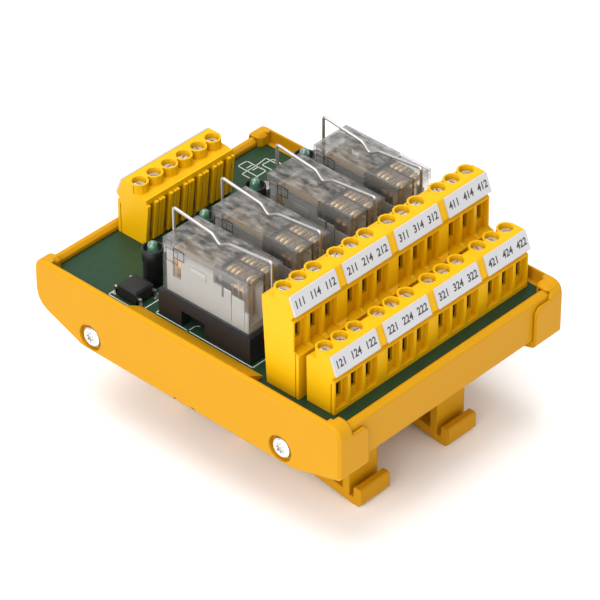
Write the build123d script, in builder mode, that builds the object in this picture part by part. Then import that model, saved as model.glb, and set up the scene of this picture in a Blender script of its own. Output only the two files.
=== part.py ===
from build123d import *
import math
import os

# Relay interface module: a circuit board with four plug-in relays and three rows of
# screw terminals, carried in a snap-in channel on two rail feet.
# +X runs along the mounting rail, -Y is the output side, +Z is up, and the origin is
# the middle of the module on the plane that its feet stand on. All sizes are in mm.

# carrier
profile_length = 74.6
profile_wall = 1.6
profile_floor_z = 22.3
profile_flat_half = 34.5
profile_side_z = 27.0
bead_width = 2.7
bead_rise = 2.0
board_thickness = 1.6
board_top_z = 36.4
board_play = 0.1
groove_depth = 1.0
shelf_reach = 3.4
screw_channel_y = 31.4
screw_channel_r = 2.6
screw_core_r = 1.3

# end plates
plate_thickness = 2.45
plate_wall = 1.2
plate_overhang = 1.05
plate_top_z = 39.9
plate_top_r = 3.2
corner_step = 24.0
plate_bottom_z = 20.6
plate_front_corner_z = 25.0
plate_rear_corner_z = 26.6
plate_fit = 0.15
plate_rim_depth = 3.0
plate_lug_depth = 7.5
plate_lug_reach = 5.0
plate_lug_r = 1.4
plate_cap_depth = 2.6
plate_cap_wall = 1.2
plate_cap_edge = 0.9
plate_edge_r = 0.7
lip_length = 40.4
lip_reach = 4.0
lip_rise = 0.3
notch_half = 0.65
notch_rise = 1.2
plate_recess_r = 3.5
plate_recess_depth = 1.3
plate_screw_r = 1.2
plate_screw_head_r = 2.9
plate_screw_head = 1.2
plate_screw_cross = 3.2
plate_screw_length = 10.0

# rail feet
foot_spacing = 31.4
foot_width = 10.0
foot_front_y = -39.9
foot_lip = 2.6
foot_groove = 1.3
foot_post = 2.2
foot_ramp_angle = 8.6
rail_width = 35.0
rail_rim = 1.0
rail_seat_z = 6.2
rail_play = 0.2
nib_reach = 1.5
foot_rib_y = 26.0
foot_rib_wall = 1.4
foot_rib_lip = 1.3
foot_rib_drop = 2.9
foot_fit = 0.15
foot_web = 2.4

# relays, in two pairs, and their sockets
relay_pitch = 16.51
pair_gap = 19.05
relay_row_x = 0.4
relay_width = 12.4
relay_length = 28.4
relay_height = 15.5
relay_draft = 0.2
cover_wall = 0.6
cover_corner = 0.4
socket_width = 13.4
socket_length = 30.0
socket_height = 7.6
armature_rest_gap = 0.47
comb_slot_play = 0.2

# retaining clips
wire_r = 0.45
clip_half = 15.9
clip_foot_z = 40.6
clip_front_z = 63.2
clip_rear_z = 63.6
clip_bend = 0.7
clip_eye = 1.1

# screw terminals
pitch = 5.08
group_pitch = 17.78
poles = 3
lower_x = -30.25
upper_x = -31.5
input_x = -12.25
upper_gap = 10.15
row_step = 11.8
terminal_foot = 5.2
front_strip = 4.4
terminal_bead_gap = 0.3
collar_r = 2.4
bore_r = 1.9
fin_wall = 1.0
marker_thickness = 0.5
clamp_width = 3.7
clamp_wall = 0.5
terminal_screw_r = 1.1
terminal_head_r = 1.75
pin_side = 0.9
pin_hole_side = 1.1
pin_below_board = 1.6

# parts around the relays
led_x = -24.1
led_gap = 9.9
led_spacer_r = 2.75
led_spacer_height = 10.4
led_bore_r = 2.2
led_seat_depth = 1.6
led_height = 3.4
led_r = 1.45
capacitor_r = 2.4
capacitor_height = 7.0
capacitor_offset = 5.3
capacitor_step_back = 1.4
rectifier_size = (6.2, 6.4, 3.3)
rectifier_offset = -6.8
rectifier_step_front = 0.7
rectifier_standoff = 0.4
rectifier_leg_pitch = 5.08
rectifier_leg_reach = 1.2
rectifier_leg_wall = 0.4
rectifier_leg_top = 2.3

# worked out from the above
upper_y = -socket_length / 2 - upper_gap
lower_y = upper_y - row_step
half_depth = -lower_y + terminal_foot + front_strip + bead_width
input_y = half_depth - bead_width - terminal_bead_gap - terminal_foot
led_y = socket_length / 2 + led_gap
half_length = profile_length / 2
board_under_z = board_top_z - board_thickness
board_half_y = half_depth - profile_wall + groove_depth - board_play
board_half_x = half_length - plate_fit
bead_top_z = board_top_z + bead_rise
plate_outer_x = half_length + plate_thickness
plate_half_y = half_depth + plate_overhang
screw_channel_z = profile_floor_z + screw_channel_r
rib_bottom_z = profile_floor_z - foot_rib_drop
socket_top_z = board_top_z + socket_height
relay_top_z = socket_top_z + relay_height
relay_xs = [
    relay_row_x + side * (pair_gap / 2) + step * relay_pitch
    for side, step in ((-1, -1), (-1, 0), (1, 0), (1, 1))
]
group_count = 4

os.makedirs("parts", exist_ok=True)


def span_box(x_span, y_span, z_span, mode=Mode.ADD):
    """Add or cut a block between three pairs of limits."""
    centre = [(span[0] + span[1]) / 2 for span in (x_span, y_span, z_span)]
    size = [abs(span[1] - span[0]) for span in (x_span, y_span, z_span)]
    with Locations(tuple(centre)):
        Box(*size, mode=mode)


def row_boxes(xs, x_span, y_span, z_span, mode=Mode.SUBTRACT):
    """Add or cut the same block at every X of a row; x_span is counted from that X."""
    centre_x = (x_span[0] + x_span[1]) / 2
    centre_y = (y_span[0] + y_span[1]) / 2
    centre_z = (z_span[0] + z_span[1]) / 2
    size = [abs(span[1] - span[0]) for span in (x_span, y_span, z_span)]
    with Locations(*[(x + centre_x, centre_y, centre_z) for x in xs]):
        Box(*size, mode=mode)


def export_copies(form, name, xs, first=1):
    """Write one numbered copy of a part for every X."""
    for number, x in enumerate(xs, start=first):
        with BuildPart() as copy:
            with Locations((x, 0, 0)):
                add(form.part)
        copy.part.label = f"{name}_{number}"
        export_step(copy.part, f"parts/{name}_{number}.step")


def side_polygon(points, start_x, width, mode=Mode.ADD):
    """Extrude an outline drawn in Y and Z along X, from start_x over width."""
    with BuildSketch(Plane.YZ.offset(start_x)) as side:
        with BuildLine():
            Polyline(*points, close=True)
        make_face()
    extrude(side.sketch, amount=width, mode=mode)


def channel_half_outline():
    """Outer line of the carrier channel, from its middle to the top of one wall."""
    return [
        (0, profile_floor_z),
        (profile_flat_half, profile_floor_z),
        (half_depth, profile_side_z),
        (half_depth, bead_top_z),
    ]


def make_profile():
    """Carrier channel: one extrusion with beads, board shelves and screw channels."""
    inner_y = half_depth - profile_wall
    with BuildPart() as channel:
        with BuildSketch(Plane.YZ.offset(-half_length)):
            with BuildLine():
                Polyline(
                    *channel_half_outline(),
                    (half_depth - bead_width, bead_top_z),
                    (half_depth - bead_width, board_top_z + board_play),
                    (inner_y + groove_depth, board_top_z + board_play),
                    (inner_y + groove_depth, board_under_z - board_play),
                    (half_depth - shelf_reach, board_under_z - board_play),
                    (half_depth - shelf_reach, board_under_z - board_play - profile_wall),
                    (inner_y, board_under_z - board_play - profile_wall),
                    (inner_y, profile_side_z + profile_wall * 0.7),
                    (profile_flat_half, profile_floor_z + profile_wall),
                    (0, profile_floor_z + profile_wall),
                    close=True,
                )
            make_face()
            chamfer(vertices().group_by(Axis.Y)[-1], bead_width * 0.3)
            with Locations((screw_channel_y, screw_channel_z)):
                RegularPolygon(screw_channel_r, 12, major_radius=False)
                RegularPolygon(screw_core_r, 8, major_radius=False, mode=Mode.SUBTRACT)
            with BuildLine():
                Polyline(
                    (foot_rib_y, profile_floor_z + profile_wall / 2),
                    (foot_rib_y, rib_bottom_z),
                    (foot_rib_y + foot_rib_wall + foot_rib_lip, rib_bottom_z),
                    (foot_rib_y + foot_rib_wall + foot_rib_lip, rib_bottom_z + foot_rib_wall),
                    (foot_rib_y + foot_rib_wall, rib_bottom_z + foot_rib_wall),
                    (foot_rib_y + foot_rib_wall, profile_floor_z + profile_wall / 2),
                    close=True,
                )
            make_face()
            mirror(about=Plane.YZ)
        extrude(amount=profile_length)
    channel.part.label = "profile_channel"
    export_step(channel.part, "parts/profile_channel.step")


def plate_corners():
    """Corners of an end plate in Y and Z with their radii, front lower corner first."""
    return [
        ((-plate_half_y, plate_front_corner_z), 1.5),
        ((-plate_half_y, plate_top_z), plate_top_r),
        ((plate_half_y, plate_top_z), plate_top_r),
        ((plate_half_y, plate_rear_corner_z), 6.0),
        ((profile_flat_half, plate_bottom_z), 4.0),
        ((-profile_flat_half - plate_overhang, plate_bottom_z), 4.0),
    ]


def plate_outline():
    """Outline of an end plate, with every corner rounded in a few short flats."""
    corners = plate_corners()
    count = len(corners)
    points = []
    for index, (corner, radius) in enumerate(corners):
        here = Vector(*corner, 0)
        before = (Vector(*corners[index - 1][0], 0) - here).normalized()
        after = (Vector(*corners[(index + 1) % count][0], 0) - here).normalized()
        half_angle = math.radians(before.get_angle(after)) / 2
        middle = here + (before + after).normalized() * (radius / math.sin(half_angle))
        start = here + before * (radius / math.tan(half_angle)) - middle
        turn = math.degrees(math.pi - 2 * half_angle)
        steps = max(2, round(turn / corner_step))
        sense = -1 if before.cross(after).Z > 0 else 1
        for step in range(steps + 1):
            point = middle + start.rotate(Axis.Z, sense * turn * step / steps)
            points.append((point.X, point.Y))
    return points


def plate_solid(start_x, width, mode=Mode.ADD):
    """Extrude the end plate's rounded outline."""
    side_polygon(plate_outline(), start_x, width, mode=mode)


def channel_envelope(clearance):
    """Outer outline of the channel grown by a clearance and left open at the top."""
    side = half_depth + clearance
    low = profile_floor_z - clearance
    return [
        (-side, plate_top_z + 5),
        (-side, profile_side_z - clearance),
        (-profile_flat_half, low),
        (profile_flat_half, low),
        (side, profile_side_z - clearance),
        (side, plate_top_z + 5),
    ]


def make_end_plates():
    """Cap that closes the channel's end, with wrap-round lugs and a board lip."""
    inner_x = -half_length
    outer_x = -plate_outer_x
    with BuildPart() as rim:
        plate_solid(inner_x, plate_lug_depth)
        side_polygon(channel_envelope(plate_fit), inner_x, plate_lug_depth, mode=Mode.SUBTRACT)
        span_box(
            (inner_x + plate_rim_depth, inner_x + plate_lug_depth),
            (-half_depth + plate_lug_reach, half_depth - plate_lug_reach),
            (0, plate_top_z),
            mode=Mode.SUBTRACT,
        )
        span_box(
            (inner_x, inner_x + plate_lug_depth),
            (-plate_half_y, plate_half_y),
            (board_top_z, plate_top_z),
            mode=Mode.SUBTRACT,
        )
        for side in (-1, 1):
            rib_span = (
                side * (foot_rib_y - plate_fit),
                side * (foot_rib_y + foot_rib_wall + foot_rib_lip + plate_fit),
            )
            span_box((inner_x, inner_x + plate_rim_depth), rib_span, (0, profile_floor_z), mode=Mode.SUBTRACT)
        lug_tops = edges().filter_by(Axis.Y).group_by(Axis.X)[-1].group_by(Axis.Z)[-1]
        chamfer(lug_tops, plate_lug_r)
    cap_in = half_depth - bead_width - plate_fit - plate_cap_wall
    with BuildPart() as caps:
        plate_solid(inner_x, plate_cap_depth)
        cap_span = (inner_x, inner_x + plate_cap_depth)
        span_box(cap_span, (-cap_in, cap_in), (0, plate_top_z), mode=Mode.SUBTRACT)
        span_box(cap_span, (-plate_half_y, plate_half_y), (0, board_top_z), mode=Mode.SUBTRACT)
        inner_end = edges().group_by(Axis.X)[-1].filter_by(lambda e: e.center().Z > board_top_z + 0.1)
        inner_tops = edges().filter_by(Axis.X).filter_by(
            lambda e: abs(abs(e.center().Y) - cap_in) < 0.01 and e.center().Z > plate_top_z - 0.1
        )
        chamfer(inner_end + inner_tops, plate_cap_edge)
        for side in (-1, 1):
            bead_span = (
                side * (half_depth - bead_width - plate_fit),
                side * (half_depth + plate_fit),
            )
            span_box(cap_span, bead_span, (0, bead_top_z + plate_fit), mode=Mode.SUBTRACT)
    with BuildPart() as left:
        plate_solid(outer_x, plate_thickness)
        chamfer(edges().group_by(Axis.X)[0], plate_edge_r)
        span_box(
            (outer_x + plate_wall, inner_x),
            (-cap_in, cap_in), (board_top_z, plate_top_z), mode=Mode.SUBTRACT,
        )
        add(rim.part)
        add(caps.part)
        with BuildSketch(Plane.XZ.offset(lip_length / 2)):
            with BuildLine():
                Polyline(
                    (outer_x + plate_wall, plate_top_z - 0.2),
                    (inner_x + lip_reach, board_top_z + lip_rise),
                    (inner_x + lip_reach, board_top_z),
                    (outer_x + plate_wall, board_top_z),
                    close=True,
                )
            make_face()
        extrude(amount=-lip_length)
        screw_plane = Plane(origin=(outer_x, 0, screw_channel_z), x_dir=(0, 1, 0), z_dir=(-1, 0, 0))
        for hole_r, sides, depth in (
            (plate_recess_r, 16, plate_recess_depth),
            (screw_core_r + 0.3, 8, plate_thickness),
        ):
            with BuildSketch(screw_plane):
                with Locations((-screw_channel_y, 0), (screw_channel_y, 0)):
                    RegularPolygon(hole_r, sides, major_radius=False)
            extrude(amount=-depth, mode=Mode.SUBTRACT)
        for notch_y in (-3.2, 2.7):
            span_box(
                (outer_x, inner_x + plate_rim_depth),
                (notch_y - notch_half, notch_y + notch_half),
                (plate_bottom_z, plate_bottom_z + notch_rise),
                mode=Mode.SUBTRACT,
            )
    left.part.label = "end_plate_left"
    export_step(left.part, "parts/end_plate_left.step")
    with BuildPart() as right:
        add(left.part.mirror(Plane.YZ))
    right.part.label = "end_plate_right"
    export_step(right.part, "parts/end_plate_right.step")


def make_end_plate_screws():
    """Four pan head screws that hold the end plates on the channel."""
    head_base_x = plate_outer_x - plate_recess_depth
    with BuildPart() as screws:
        for end in (-1, 1):
            for side in (-1, 1):
                seat = Plane(
                    origin=(end * head_base_x, side * screw_channel_y, screw_channel_z),
                    x_dir=(0, 1, 0),
                    z_dir=(end, 0, 0),
                )
                with BuildSketch(seat):
                    RegularPolygon(plate_screw_head_r, 12)
                extrude(amount=plate_screw_head, taper=18)
                with BuildSketch(seat):
                    RegularPolygon(plate_screw_r, 6)
                extrude(amount=-plate_screw_length)
                with BuildSketch(seat.offset(plate_screw_head)):
                    Rectangle(plate_screw_cross, 0.7)
                    Rectangle(0.7, plate_screw_cross)
                extrude(amount=-plate_screw_head * 0.6, mode=Mode.SUBTRACT)
    screws.part.label = "end_plate_screws"
    export_step(screws.part, "parts/end_plate_screws.step")


def foot_outline():
    """Side view of a rail foot: release hook, latch lever, rail seats and top jaws."""
    rail_half = rail_width / 2
    lip_back = foot_front_y + foot_lip
    post_front = lip_back + foot_groove
    post_back = post_front + foot_post
    nib_top = rail_seat_z - rail_rim - 0.1
    lever_end = -rail_half + nib_reach
    ramp_rise = math.tan(math.radians(foot_ramp_angle)) * (lever_end - lip_back)
    top_z = rib_bottom_z - foot_fit
    jaw_in = foot_rib_y + foot_rib_wall + foot_fit
    jaw_out = foot_rib_y + foot_rib_wall + foot_rib_lip + foot_fit
    jaw_wall = 1.5
    jaw_lip_z = rib_bottom_z + foot_rib_wall + foot_fit
    jaw_top_z = profile_floor_z - foot_fit
    slot = 1.2
    slot_z = 13.0
    nose_y = -1.0
    return [
        (foot_front_y, 5.4),
        (foot_front_y, 1.0),
        (foot_front_y + 1.0, 0),
        (lip_back, 0),
        (lever_end, ramp_rise),
        (lever_end, nib_top),
        (-rail_half - rail_play, nib_top),
        (-rail_half - rail_play, rail_seat_z),
        (-rail_half - rail_play - 1.0, rail_seat_z),
        (-rail_half - rail_play - 1.0, slot_z),
        (post_back, slot_z),
        (post_back, slot_z + slot),
        (-rail_half - rail_play - 1.0 + slot, slot_z + slot),
        (-rail_half - rail_play - 1.0 + slot, rail_seat_z),
        (-rail_half + 6.0, rail_seat_z),
        (-rail_half + 7.5, 9.0),
        (nose_y - 2.5, 9.0),
        (nose_y - 2.5, 4.0),
        (nose_y - 3.6, 3.0),
        (nose_y - 3.6, 0.8),
        (nose_y - 2.8, 0),
        (nose_y + 1.8, 0),
        (nose_y + 2.6, 0.8),
        (nose_y + 2.6, 9.0),
        (rail_half - 7.5, 9.0),
        (rail_half - 6.0, rail_seat_z),
        (rail_half + rail_play, rail_seat_z),
        (rail_half + rail_play, nib_top),
        (rail_half - nib_reach, nib_top),
        (rail_half - nib_reach, 3.4),
        (rail_half + 0.6, 0),
        (rail_half + 3.6, 0),
        (rail_half + 4.6, 1.0),
        (rail_half + 4.6, 10.5),
        (jaw_out + jaw_wall, 16.5),
        (jaw_out + jaw_wall, jaw_top_z),
        (jaw_in, jaw_top_z),
        (jaw_in, jaw_lip_z),
        (jaw_out, jaw_lip_z),
        (jaw_out, top_z),
        (-jaw_out, top_z),
        (-jaw_out, jaw_lip_z),
        (-jaw_in, jaw_lip_z),
        (-jaw_in, jaw_top_z),
        (-jaw_out - jaw_wall, jaw_top_z),
        (-jaw_out - jaw_wall, top_z),
        (post_front, top_z - 1.5),
        (post_front, 2.2),
        (lip_back, 2.2),
        (lip_back, 5.4),
    ]


def make_feet():
    """Two rail feet: a flanged web with a levered latch at the front."""
    rail_half = rail_width / 2
    post_back = foot_front_y + foot_lip + foot_groove + foot_post
    pocket = (foot_width - foot_web) / 2
    lever_pocket = [
        (post_back, 3.2),
        (-rail_half - 2.8, 5.8),
        (-rail_half - 2.8, 11.4),
        (post_back, 11.4),
    ]
    rear_pocket = [
        (rail_half - 6.0, 8.2),
        (rail_half + 2.8, 8.2),
        (rail_half + 2.8, 11.0),
        (rail_half + 6.5, 15.6),
        (rail_half - 6.0, 15.6),
    ]
    front_pocket = [
        (-rail_half + 3.0, 8.2),
        (-rail_half + 6.6, 8.2),
        (-rail_half + 8.4, 10.8),
        (-4.5, 10.8),
        (-4.5, 17.0),
        (-rail_half + 3.0, 17.0),
    ]
    with BuildPart() as foot:
        side_polygon(foot_outline(), -foot_width / 2, foot_width)
        for outline in (lever_pocket, rear_pocket, front_pocket):
            side_polygon(outline, -foot_width / 2, pocket, mode=Mode.SUBTRACT)
            side_polygon(outline, foot_width / 2 - pocket, pocket, mode=Mode.SUBTRACT)
        hook_edges = edges().filter_by(Axis.X).filter_by(
            lambda e: e.center().Y < foot_front_y + foot_lip + 0.1 and e.center().Z > 5
        )
        chamfer(hook_edges, 0.5)
    export_copies(foot, "rail_foot", (-foot_spacing / 2, foot_spacing / 2))


def pole_xs(first_x, groups):
    """X of every screw in a row of three-pole groups."""
    return [first_x + group * group_pitch + pole * pitch for group in range(groups) for pole in range(poles)]


def input_xs():
    """X of the six input screws, whose two blocks stand side by side."""
    return [input_x + pole * pitch for pole in range(2 * poles)]


def relay_pin_places():
    """Pins of one relay, from its middle: two coil pins and six contact pins."""
    return [(side * 3.75, pin_y) for side in (-1, 1) for pin_y in (-10.4, -5.3, -0.3, 11.6)]


def socket_pin_places():
    """Board positions of all socket pins."""
    return [(relay_x + x, y) for relay_x in relay_xs for x, y in relay_pin_places()]


def terminal_pin_places():
    """Board positions of the terminal pins."""
    lower = [(x, lower_y) for x in pole_xs(lower_x, group_count)]
    upper = [(x, upper_y) for x in pole_xs(upper_x, group_count)]
    supply = [(x, input_y) for x in input_xs()]
    return lower + upper + supply


def make_board():
    """Printed circuit board with square pin holes."""
    with BuildPart() as board:
        with BuildSketch(Plane.XY.offset(board_top_z)):
            Rectangle(2 * board_half_x, 2 * board_half_y)
            with Locations(*terminal_pin_places(), *socket_pin_places()):
                Rectangle(pin_hole_side, pin_hole_side, mode=Mode.SUBTRACT)
        extrude(amount=-board_thickness)
    board.part.label = "circuit_board"
    export_step(board.part, "parts/circuit_board.step")


def make_sockets():
    """Relay sockets with end eyes for the clip, side windows, pin sleeves and pins."""
    half_x = socket_width / 2
    half_y = socket_length / 2
    with BuildPart() as socket:
        span_box((-half_x, half_x), (-half_y, half_y), (board_top_z, socket_top_z))
        row_boxes((-half_x, half_x), (-3.0, 3.0), (-0.2, 7.4), (board_top_z, board_top_z + 4.7))
        for side in (-1, 1):
            with Locations((0, side * half_y, clip_foot_z)):
                Box(clip_eye, 3.2, clip_eye, mode=Mode.SUBTRACT)
        span_box(
            (-4.4, 4.4), (-half_y + 2.4, half_y - 2.4),
            (socket_top_z - 1.0, socket_top_z), mode=Mode.SUBTRACT,
        )
        with BuildSketch(Plane.XY.offset(socket_top_z - 1.0)):
            with Locations(*relay_pin_places()):
                Rectangle(relay_pin[0] + 2 * relay_pin_play, relay_pin[1] + 2 * relay_pin_play)
        extrude(amount=-relay_pin_length + 0.8, mode=Mode.SUBTRACT)
        with BuildSketch(Plane.XY.offset(board_top_z)):
            with Locations(*relay_pin_places()):
                Rectangle(pin_side, pin_side)
        extrude(amount=-board_thickness - pin_below_board)
    export_copies(socket, "relay_socket", relay_xs)


# inside of a relay
relay_pin = (0.6, 1.2)
relay_pin_length = 3.8
relay_pin_play = 0.15
carrier_half_x = relay_width / 2 - cover_wall - 0.3
carrier_half_y = relay_length / 2 - cover_wall - 0.3
carrier_wall = 0.6
carrier_floor = 2.2
coil_z = socket_top_z + 7.9
coil_front_y = -1.4
coil_back_y = 12.1
coil_r = 3.8
flange_half = 4.2
core_r = 1.6
armature_y = -3.6
armature_t = 1.0
armature_top_z = socket_top_z + 13.6
hinge_z = socket_top_z + 3.0
comb_z = socket_top_z + 12.4
comb_t = 1.1
spring_y = -9.1
spring_t = 0.3
spring_play = 0.1
blade_t = 0.4
blade_x = (1.0, 4.3)
blade_mid = sum(blade_x) / 2
button_r = 0.9
button_z = socket_top_z + 9.6
button_reach = 0.65
contact_gap = 0.55
floor_top_z = socket_top_z + carrier_floor


def make_relay_bases():
    """Moulded relay carriers: floor with pins, side walls with a window, partition."""
    wall_points = [
        (-carrier_half_y, floor_top_z - 0.1),
        (carrier_half_y, floor_top_z - 0.1),
        (carrier_half_y, socket_top_z + 12.6),
        (-2.0, socket_top_z + 12.6),
        (-2.0, socket_top_z + 9.4),
        (-4.6, socket_top_z + 9.4),
        (-4.6, socket_top_z + 6.6),
        (-7.4, socket_top_z + 6.6),
        (-7.4, socket_top_z + 5.6),
        (-carrier_half_y, socket_top_z + 5.6),
    ]
    with BuildPart() as base:
        span_box(
            (-carrier_half_x, carrier_half_x), (-carrier_half_y, carrier_half_y),
            (socket_top_z, floor_top_z),
        )
        for wall_x in (-carrier_half_x, carrier_half_x - carrier_wall):
            side_polygon(wall_points, wall_x, carrier_wall)
            span_box(
                (wall_x, wall_x + carrier_wall), (8.6, 11.4),
                (socket_top_z + 4.6, socket_top_z + 10.0), mode=Mode.SUBTRACT,
            )
        span_box(
            (-0.35, 0.35), (-carrier_half_y, armature_y - 0.9), (floor_top_z - 0.1, comb_z - 0.4)
        )
        with BuildSketch(Plane.XY.offset(socket_top_z)):
            with Locations(*relay_pin_places()):
                Rectangle(*relay_pin)
        extrude(amount=-relay_pin_length)
    export_copies(base, "relay_base", relay_xs)


def make_relay_covers():
    """Clear relay covers: drafted shells, open below, with latch recesses."""
    height = relay_top_z - socket_top_z
    taper = math.degrees(math.atan(relay_draft / height))
    with BuildPart() as cover:
        with BuildSketch(Plane.XY.offset(socket_top_z)):
            Rectangle(relay_width, relay_length)
            chamfer(vertices(), cover_corner)
        extrude(amount=height, taper=taper)
        chamfer(faces().sort_by(Axis.Z)[-1].edges(), cover_corner)
        with BuildSketch(Plane.XY.offset(socket_top_z)):
            Rectangle(relay_width - 2 * cover_wall, relay_length - 2 * cover_wall)
        extrude(amount=height - cover_wall, taper=taper, mode=Mode.SUBTRACT)
        for side in (-1, 1):
            recess_x = side * (relay_width / 2 - relay_draft)
            span_box(
                (recess_x - 0.2, recess_x + 0.2), (9.0, 12.8),
                (relay_top_z - 6.2, relay_top_z - 2.6), mode=Mode.SUBTRACT,
            )
    export_copies(cover, "relay_cover", relay_xs)


def make_relay_coils():
    """Magnets of the relays: a wound bobbin on a core, closed by a steel yoke."""
    along = Plane(origin=(0, coil_front_y, coil_z), x_dir=(1, 0, 0), z_dir=(0, 1, 0))
    length = coil_back_y - coil_front_y
    core_front = armature_y + armature_t + armature_rest_gap - coil_front_y
    with BuildPart() as coil:
        with BuildSketch(along.offset(0.2)):
            RegularPolygon(coil_r, 12)
        extrude(amount=length - 0.4)
        for start in (0, length - 0.8):
            with BuildSketch(along.offset(start)):
                Rectangle(2 * flange_half, 2 * flange_half)
                chamfer(vertices(), 0.8)
            extrude(amount=0.8)
        with BuildSketch(along.offset(core_front)):
            RegularPolygon(core_r, 8)
        extrude(amount=0.2 - core_front)
        yoke = [
            (armature_y + armature_t + 0.1, floor_top_z),
            (carrier_half_y - 0.1, floor_top_z),
            (carrier_half_y - 0.1, coil_z + 2.4),
            (coil_back_y - 0.1, coil_z + 2.4),
            (coil_back_y - 0.1, floor_top_z + 1.0),
            (armature_y + armature_t + 0.1, floor_top_z + 1.0),
        ]
        side_polygon(yoke, -3.2, 6.4)
    export_copies(coil, "relay_coil", relay_xs)


def make_armatures():
    """Hinged armature plates, each with the tab that drives the comb."""
    with BuildPart() as armature:
        with BuildSketch(Plane.XZ.offset(-armature_y)):
            with BuildLine():
                Polyline(
                    (-3.6, hinge_z - 0.6),
                    (3.6, hinge_z - 0.6),
                    (4.2, hinge_z + 3.0),
                    (4.2, comb_z - 0.4),
                    (1.4, comb_z - 0.4),
                    (1.4, armature_top_z),
                    (-1.4, armature_top_z),
                    (-1.4, comb_z - 0.4),
                    (-4.2, comb_z - 0.4),
                    (-4.2, hinge_z + 3.0),
                    close=True,
                )
            make_face()
        extrude(amount=-armature_t)
    export_copies(armature, "relay_armature", relay_xs)


def make_combs():
    """Combs that carry the armature's stroke to the moving contact springs."""
    slot_back = armature_y + armature_t + comb_slot_play
    with BuildPart() as comb:
        span_box((-4.5, 4.5), (spring_y - 1.2, slot_back + 0.9), (comb_z, comb_z + comb_t))
        span_box(
            (-1.8, 1.8), (armature_y - comb_slot_play, slot_back),
            (comb_z, comb_z + comb_t), mode=Mode.SUBTRACT,
        )
        row_boxes(
            (-blade_mid, blade_mid), (-1.2, 1.2),
            (spring_y - spring_t / 2 - spring_play, spring_y + spring_t / 2 + spring_play),
            (comb_z, comb_z + comb_t),
        )
        chamfer(edges().filter_by(Axis.Z).group_by(Axis.Y)[0], 0.6)
    export_copies(comb, "relay_comb", relay_xs)


def make_moving_contacts():
    """Moving contact springs with a button on both sides, held in the comb."""
    half_t = spring_t / 2
    middles = (-blade_mid, blade_mid)
    half_blade = (blade_x[1] - blade_x[0]) / 2
    with BuildPart() as springs:
        row_boxes(
            middles, (-half_blade, half_blade), (spring_y - half_t, spring_y + half_t),
            (floor_top_z + 0.05, comb_z - 0.3), mode=Mode.ADD,
        )
        row_boxes(
            middles, (-0.9, 0.9), (spring_y - half_t, spring_y + half_t),
            (comb_z - 0.4, comb_z + comb_t + 0.3), mode=Mode.ADD,
        )
        with BuildSketch(Plane.XZ.offset(-spring_y - button_reach)):
            with Locations(*[(x, button_z) for x in middles]):
                RegularPolygon(button_r, 6)
        extrude(amount=2 * button_reach)
    export_copies(springs, "relay_springs", relay_xs)


def make_fixed_contacts():
    """Fixed contact blades before and behind the moving springs."""
    middles = (-blade_mid, blade_mid)
    half_blade = (blade_x[1] - blade_x[0]) / 2
    rest_gap = 0.05
    front_face = spring_y - button_reach - rest_gap
    back_face = spring_y + button_reach + contact_gap
    with BuildPart() as blades:
        for face_y, away in ((front_face, -1), (back_face, 1)):
            row_boxes(
                middles, (-half_blade, half_blade),
                (face_y + away * 0.6, face_y + away * (0.6 + blade_t)),
                (floor_top_z, button_z + 1.4), mode=Mode.ADD,
            )
            with BuildSketch(Plane.XZ.offset(-face_y)):
                with Locations(*[(x, button_z) for x in middles]):
                    RegularPolygon(button_r, 6)
            extrude(amount=-away * 0.7)
    export_copies(blades, "relay_contacts", relay_xs)


def make_clips():
    """Spring wire clips that bow over the relays and press on them at their middle."""
    dip_z = relay_top_z + wire_r
    foot_tip_y = socket_length / 2 - 1.2
    path_plane = Plane(origin=(0, 0, 0), x_dir=(0, 1, 0), z_dir=(1, 0, 0))
    route = [
        (-foot_tip_y, clip_foot_z),
        (-clip_half, clip_foot_z),
        (-clip_half, clip_front_z - clip_bend),
        (-clip_half + clip_bend, clip_front_z),
        (-2.2, dip_z + 1.75),
        (0.3, dip_z),
        (1.2, dip_z),
        (3.0, dip_z + 2.1),
        (clip_half - clip_bend, clip_rear_z),
        (clip_half, clip_rear_z - clip_bend),
        (clip_half, clip_foot_z),
        (foot_tip_y, clip_foot_z),
    ]
    with BuildPart() as clip:
        with BuildLine(path_plane) as path:
            Polyline(*route)
        with BuildSketch(Plane(origin=path.line @ 0, x_dir=(1, 0, 0), z_dir=path.line % 0)):
            RegularPolygon(wire_r, 6)
        sweep(path=path.line, transition=Transition.RIGHT)
    export_copies(clip, "retaining_clip", relay_xs)


class Terminal:
    """Heights and reaches of one terminal family, measured from its screw and the board."""

    def __init__(self, y, toward, heel, level, nose, ledge_reach, front_foot, cell_low, ribbed):
        self.y = y
        self.toward = toward
        self.heel = heel
        self.level = level
        self.nose = nose
        self.ledge_reach = ledge_reach
        self.front_foot = front_foot
        self.cell_low = cell_low
        self.ribbed = ribbed

    def place(self, reach, height):
        """Point in Y and Z that lies a reach in front of the screw at a height."""
        return (self.y + self.toward * reach, board_top_z + height)

    def reach_span(self, back, front):
        """Limits in Y between two reaches."""
        return (self.y + self.toward * back, self.y + self.toward * front)

    def height_span(self, low, high):
        """Limits in Z between two heights above the board."""
        return (board_top_z + low, board_top_z + high)

    def outline(self):
        """Side view of the housing."""
        top = self.level
        return [
            self.place(-self.heel, 0),
            self.place(self.front_foot, 0),
            self.place(self.front_foot, self.cell_low + 0.2),
            self.place(self.nose - 0.2, self.cell_low + 0.9),
            self.place(self.nose - 0.2, top - 6.6),
            self.place(self.nose - 1.0, top - 6.2),
            self.place(self.nose, top - 4.8),
            self.place(self.nose - 1.8, top - 0.2),
            self.place(self.nose - 2.1, top),
            self.place(-0.4, top),
            self.place(-0.4, top - 2.5),
            self.place(-2.8, top - 2.5),
            self.place(-self.ledge_reach, top - 3.4),
        ]


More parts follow.
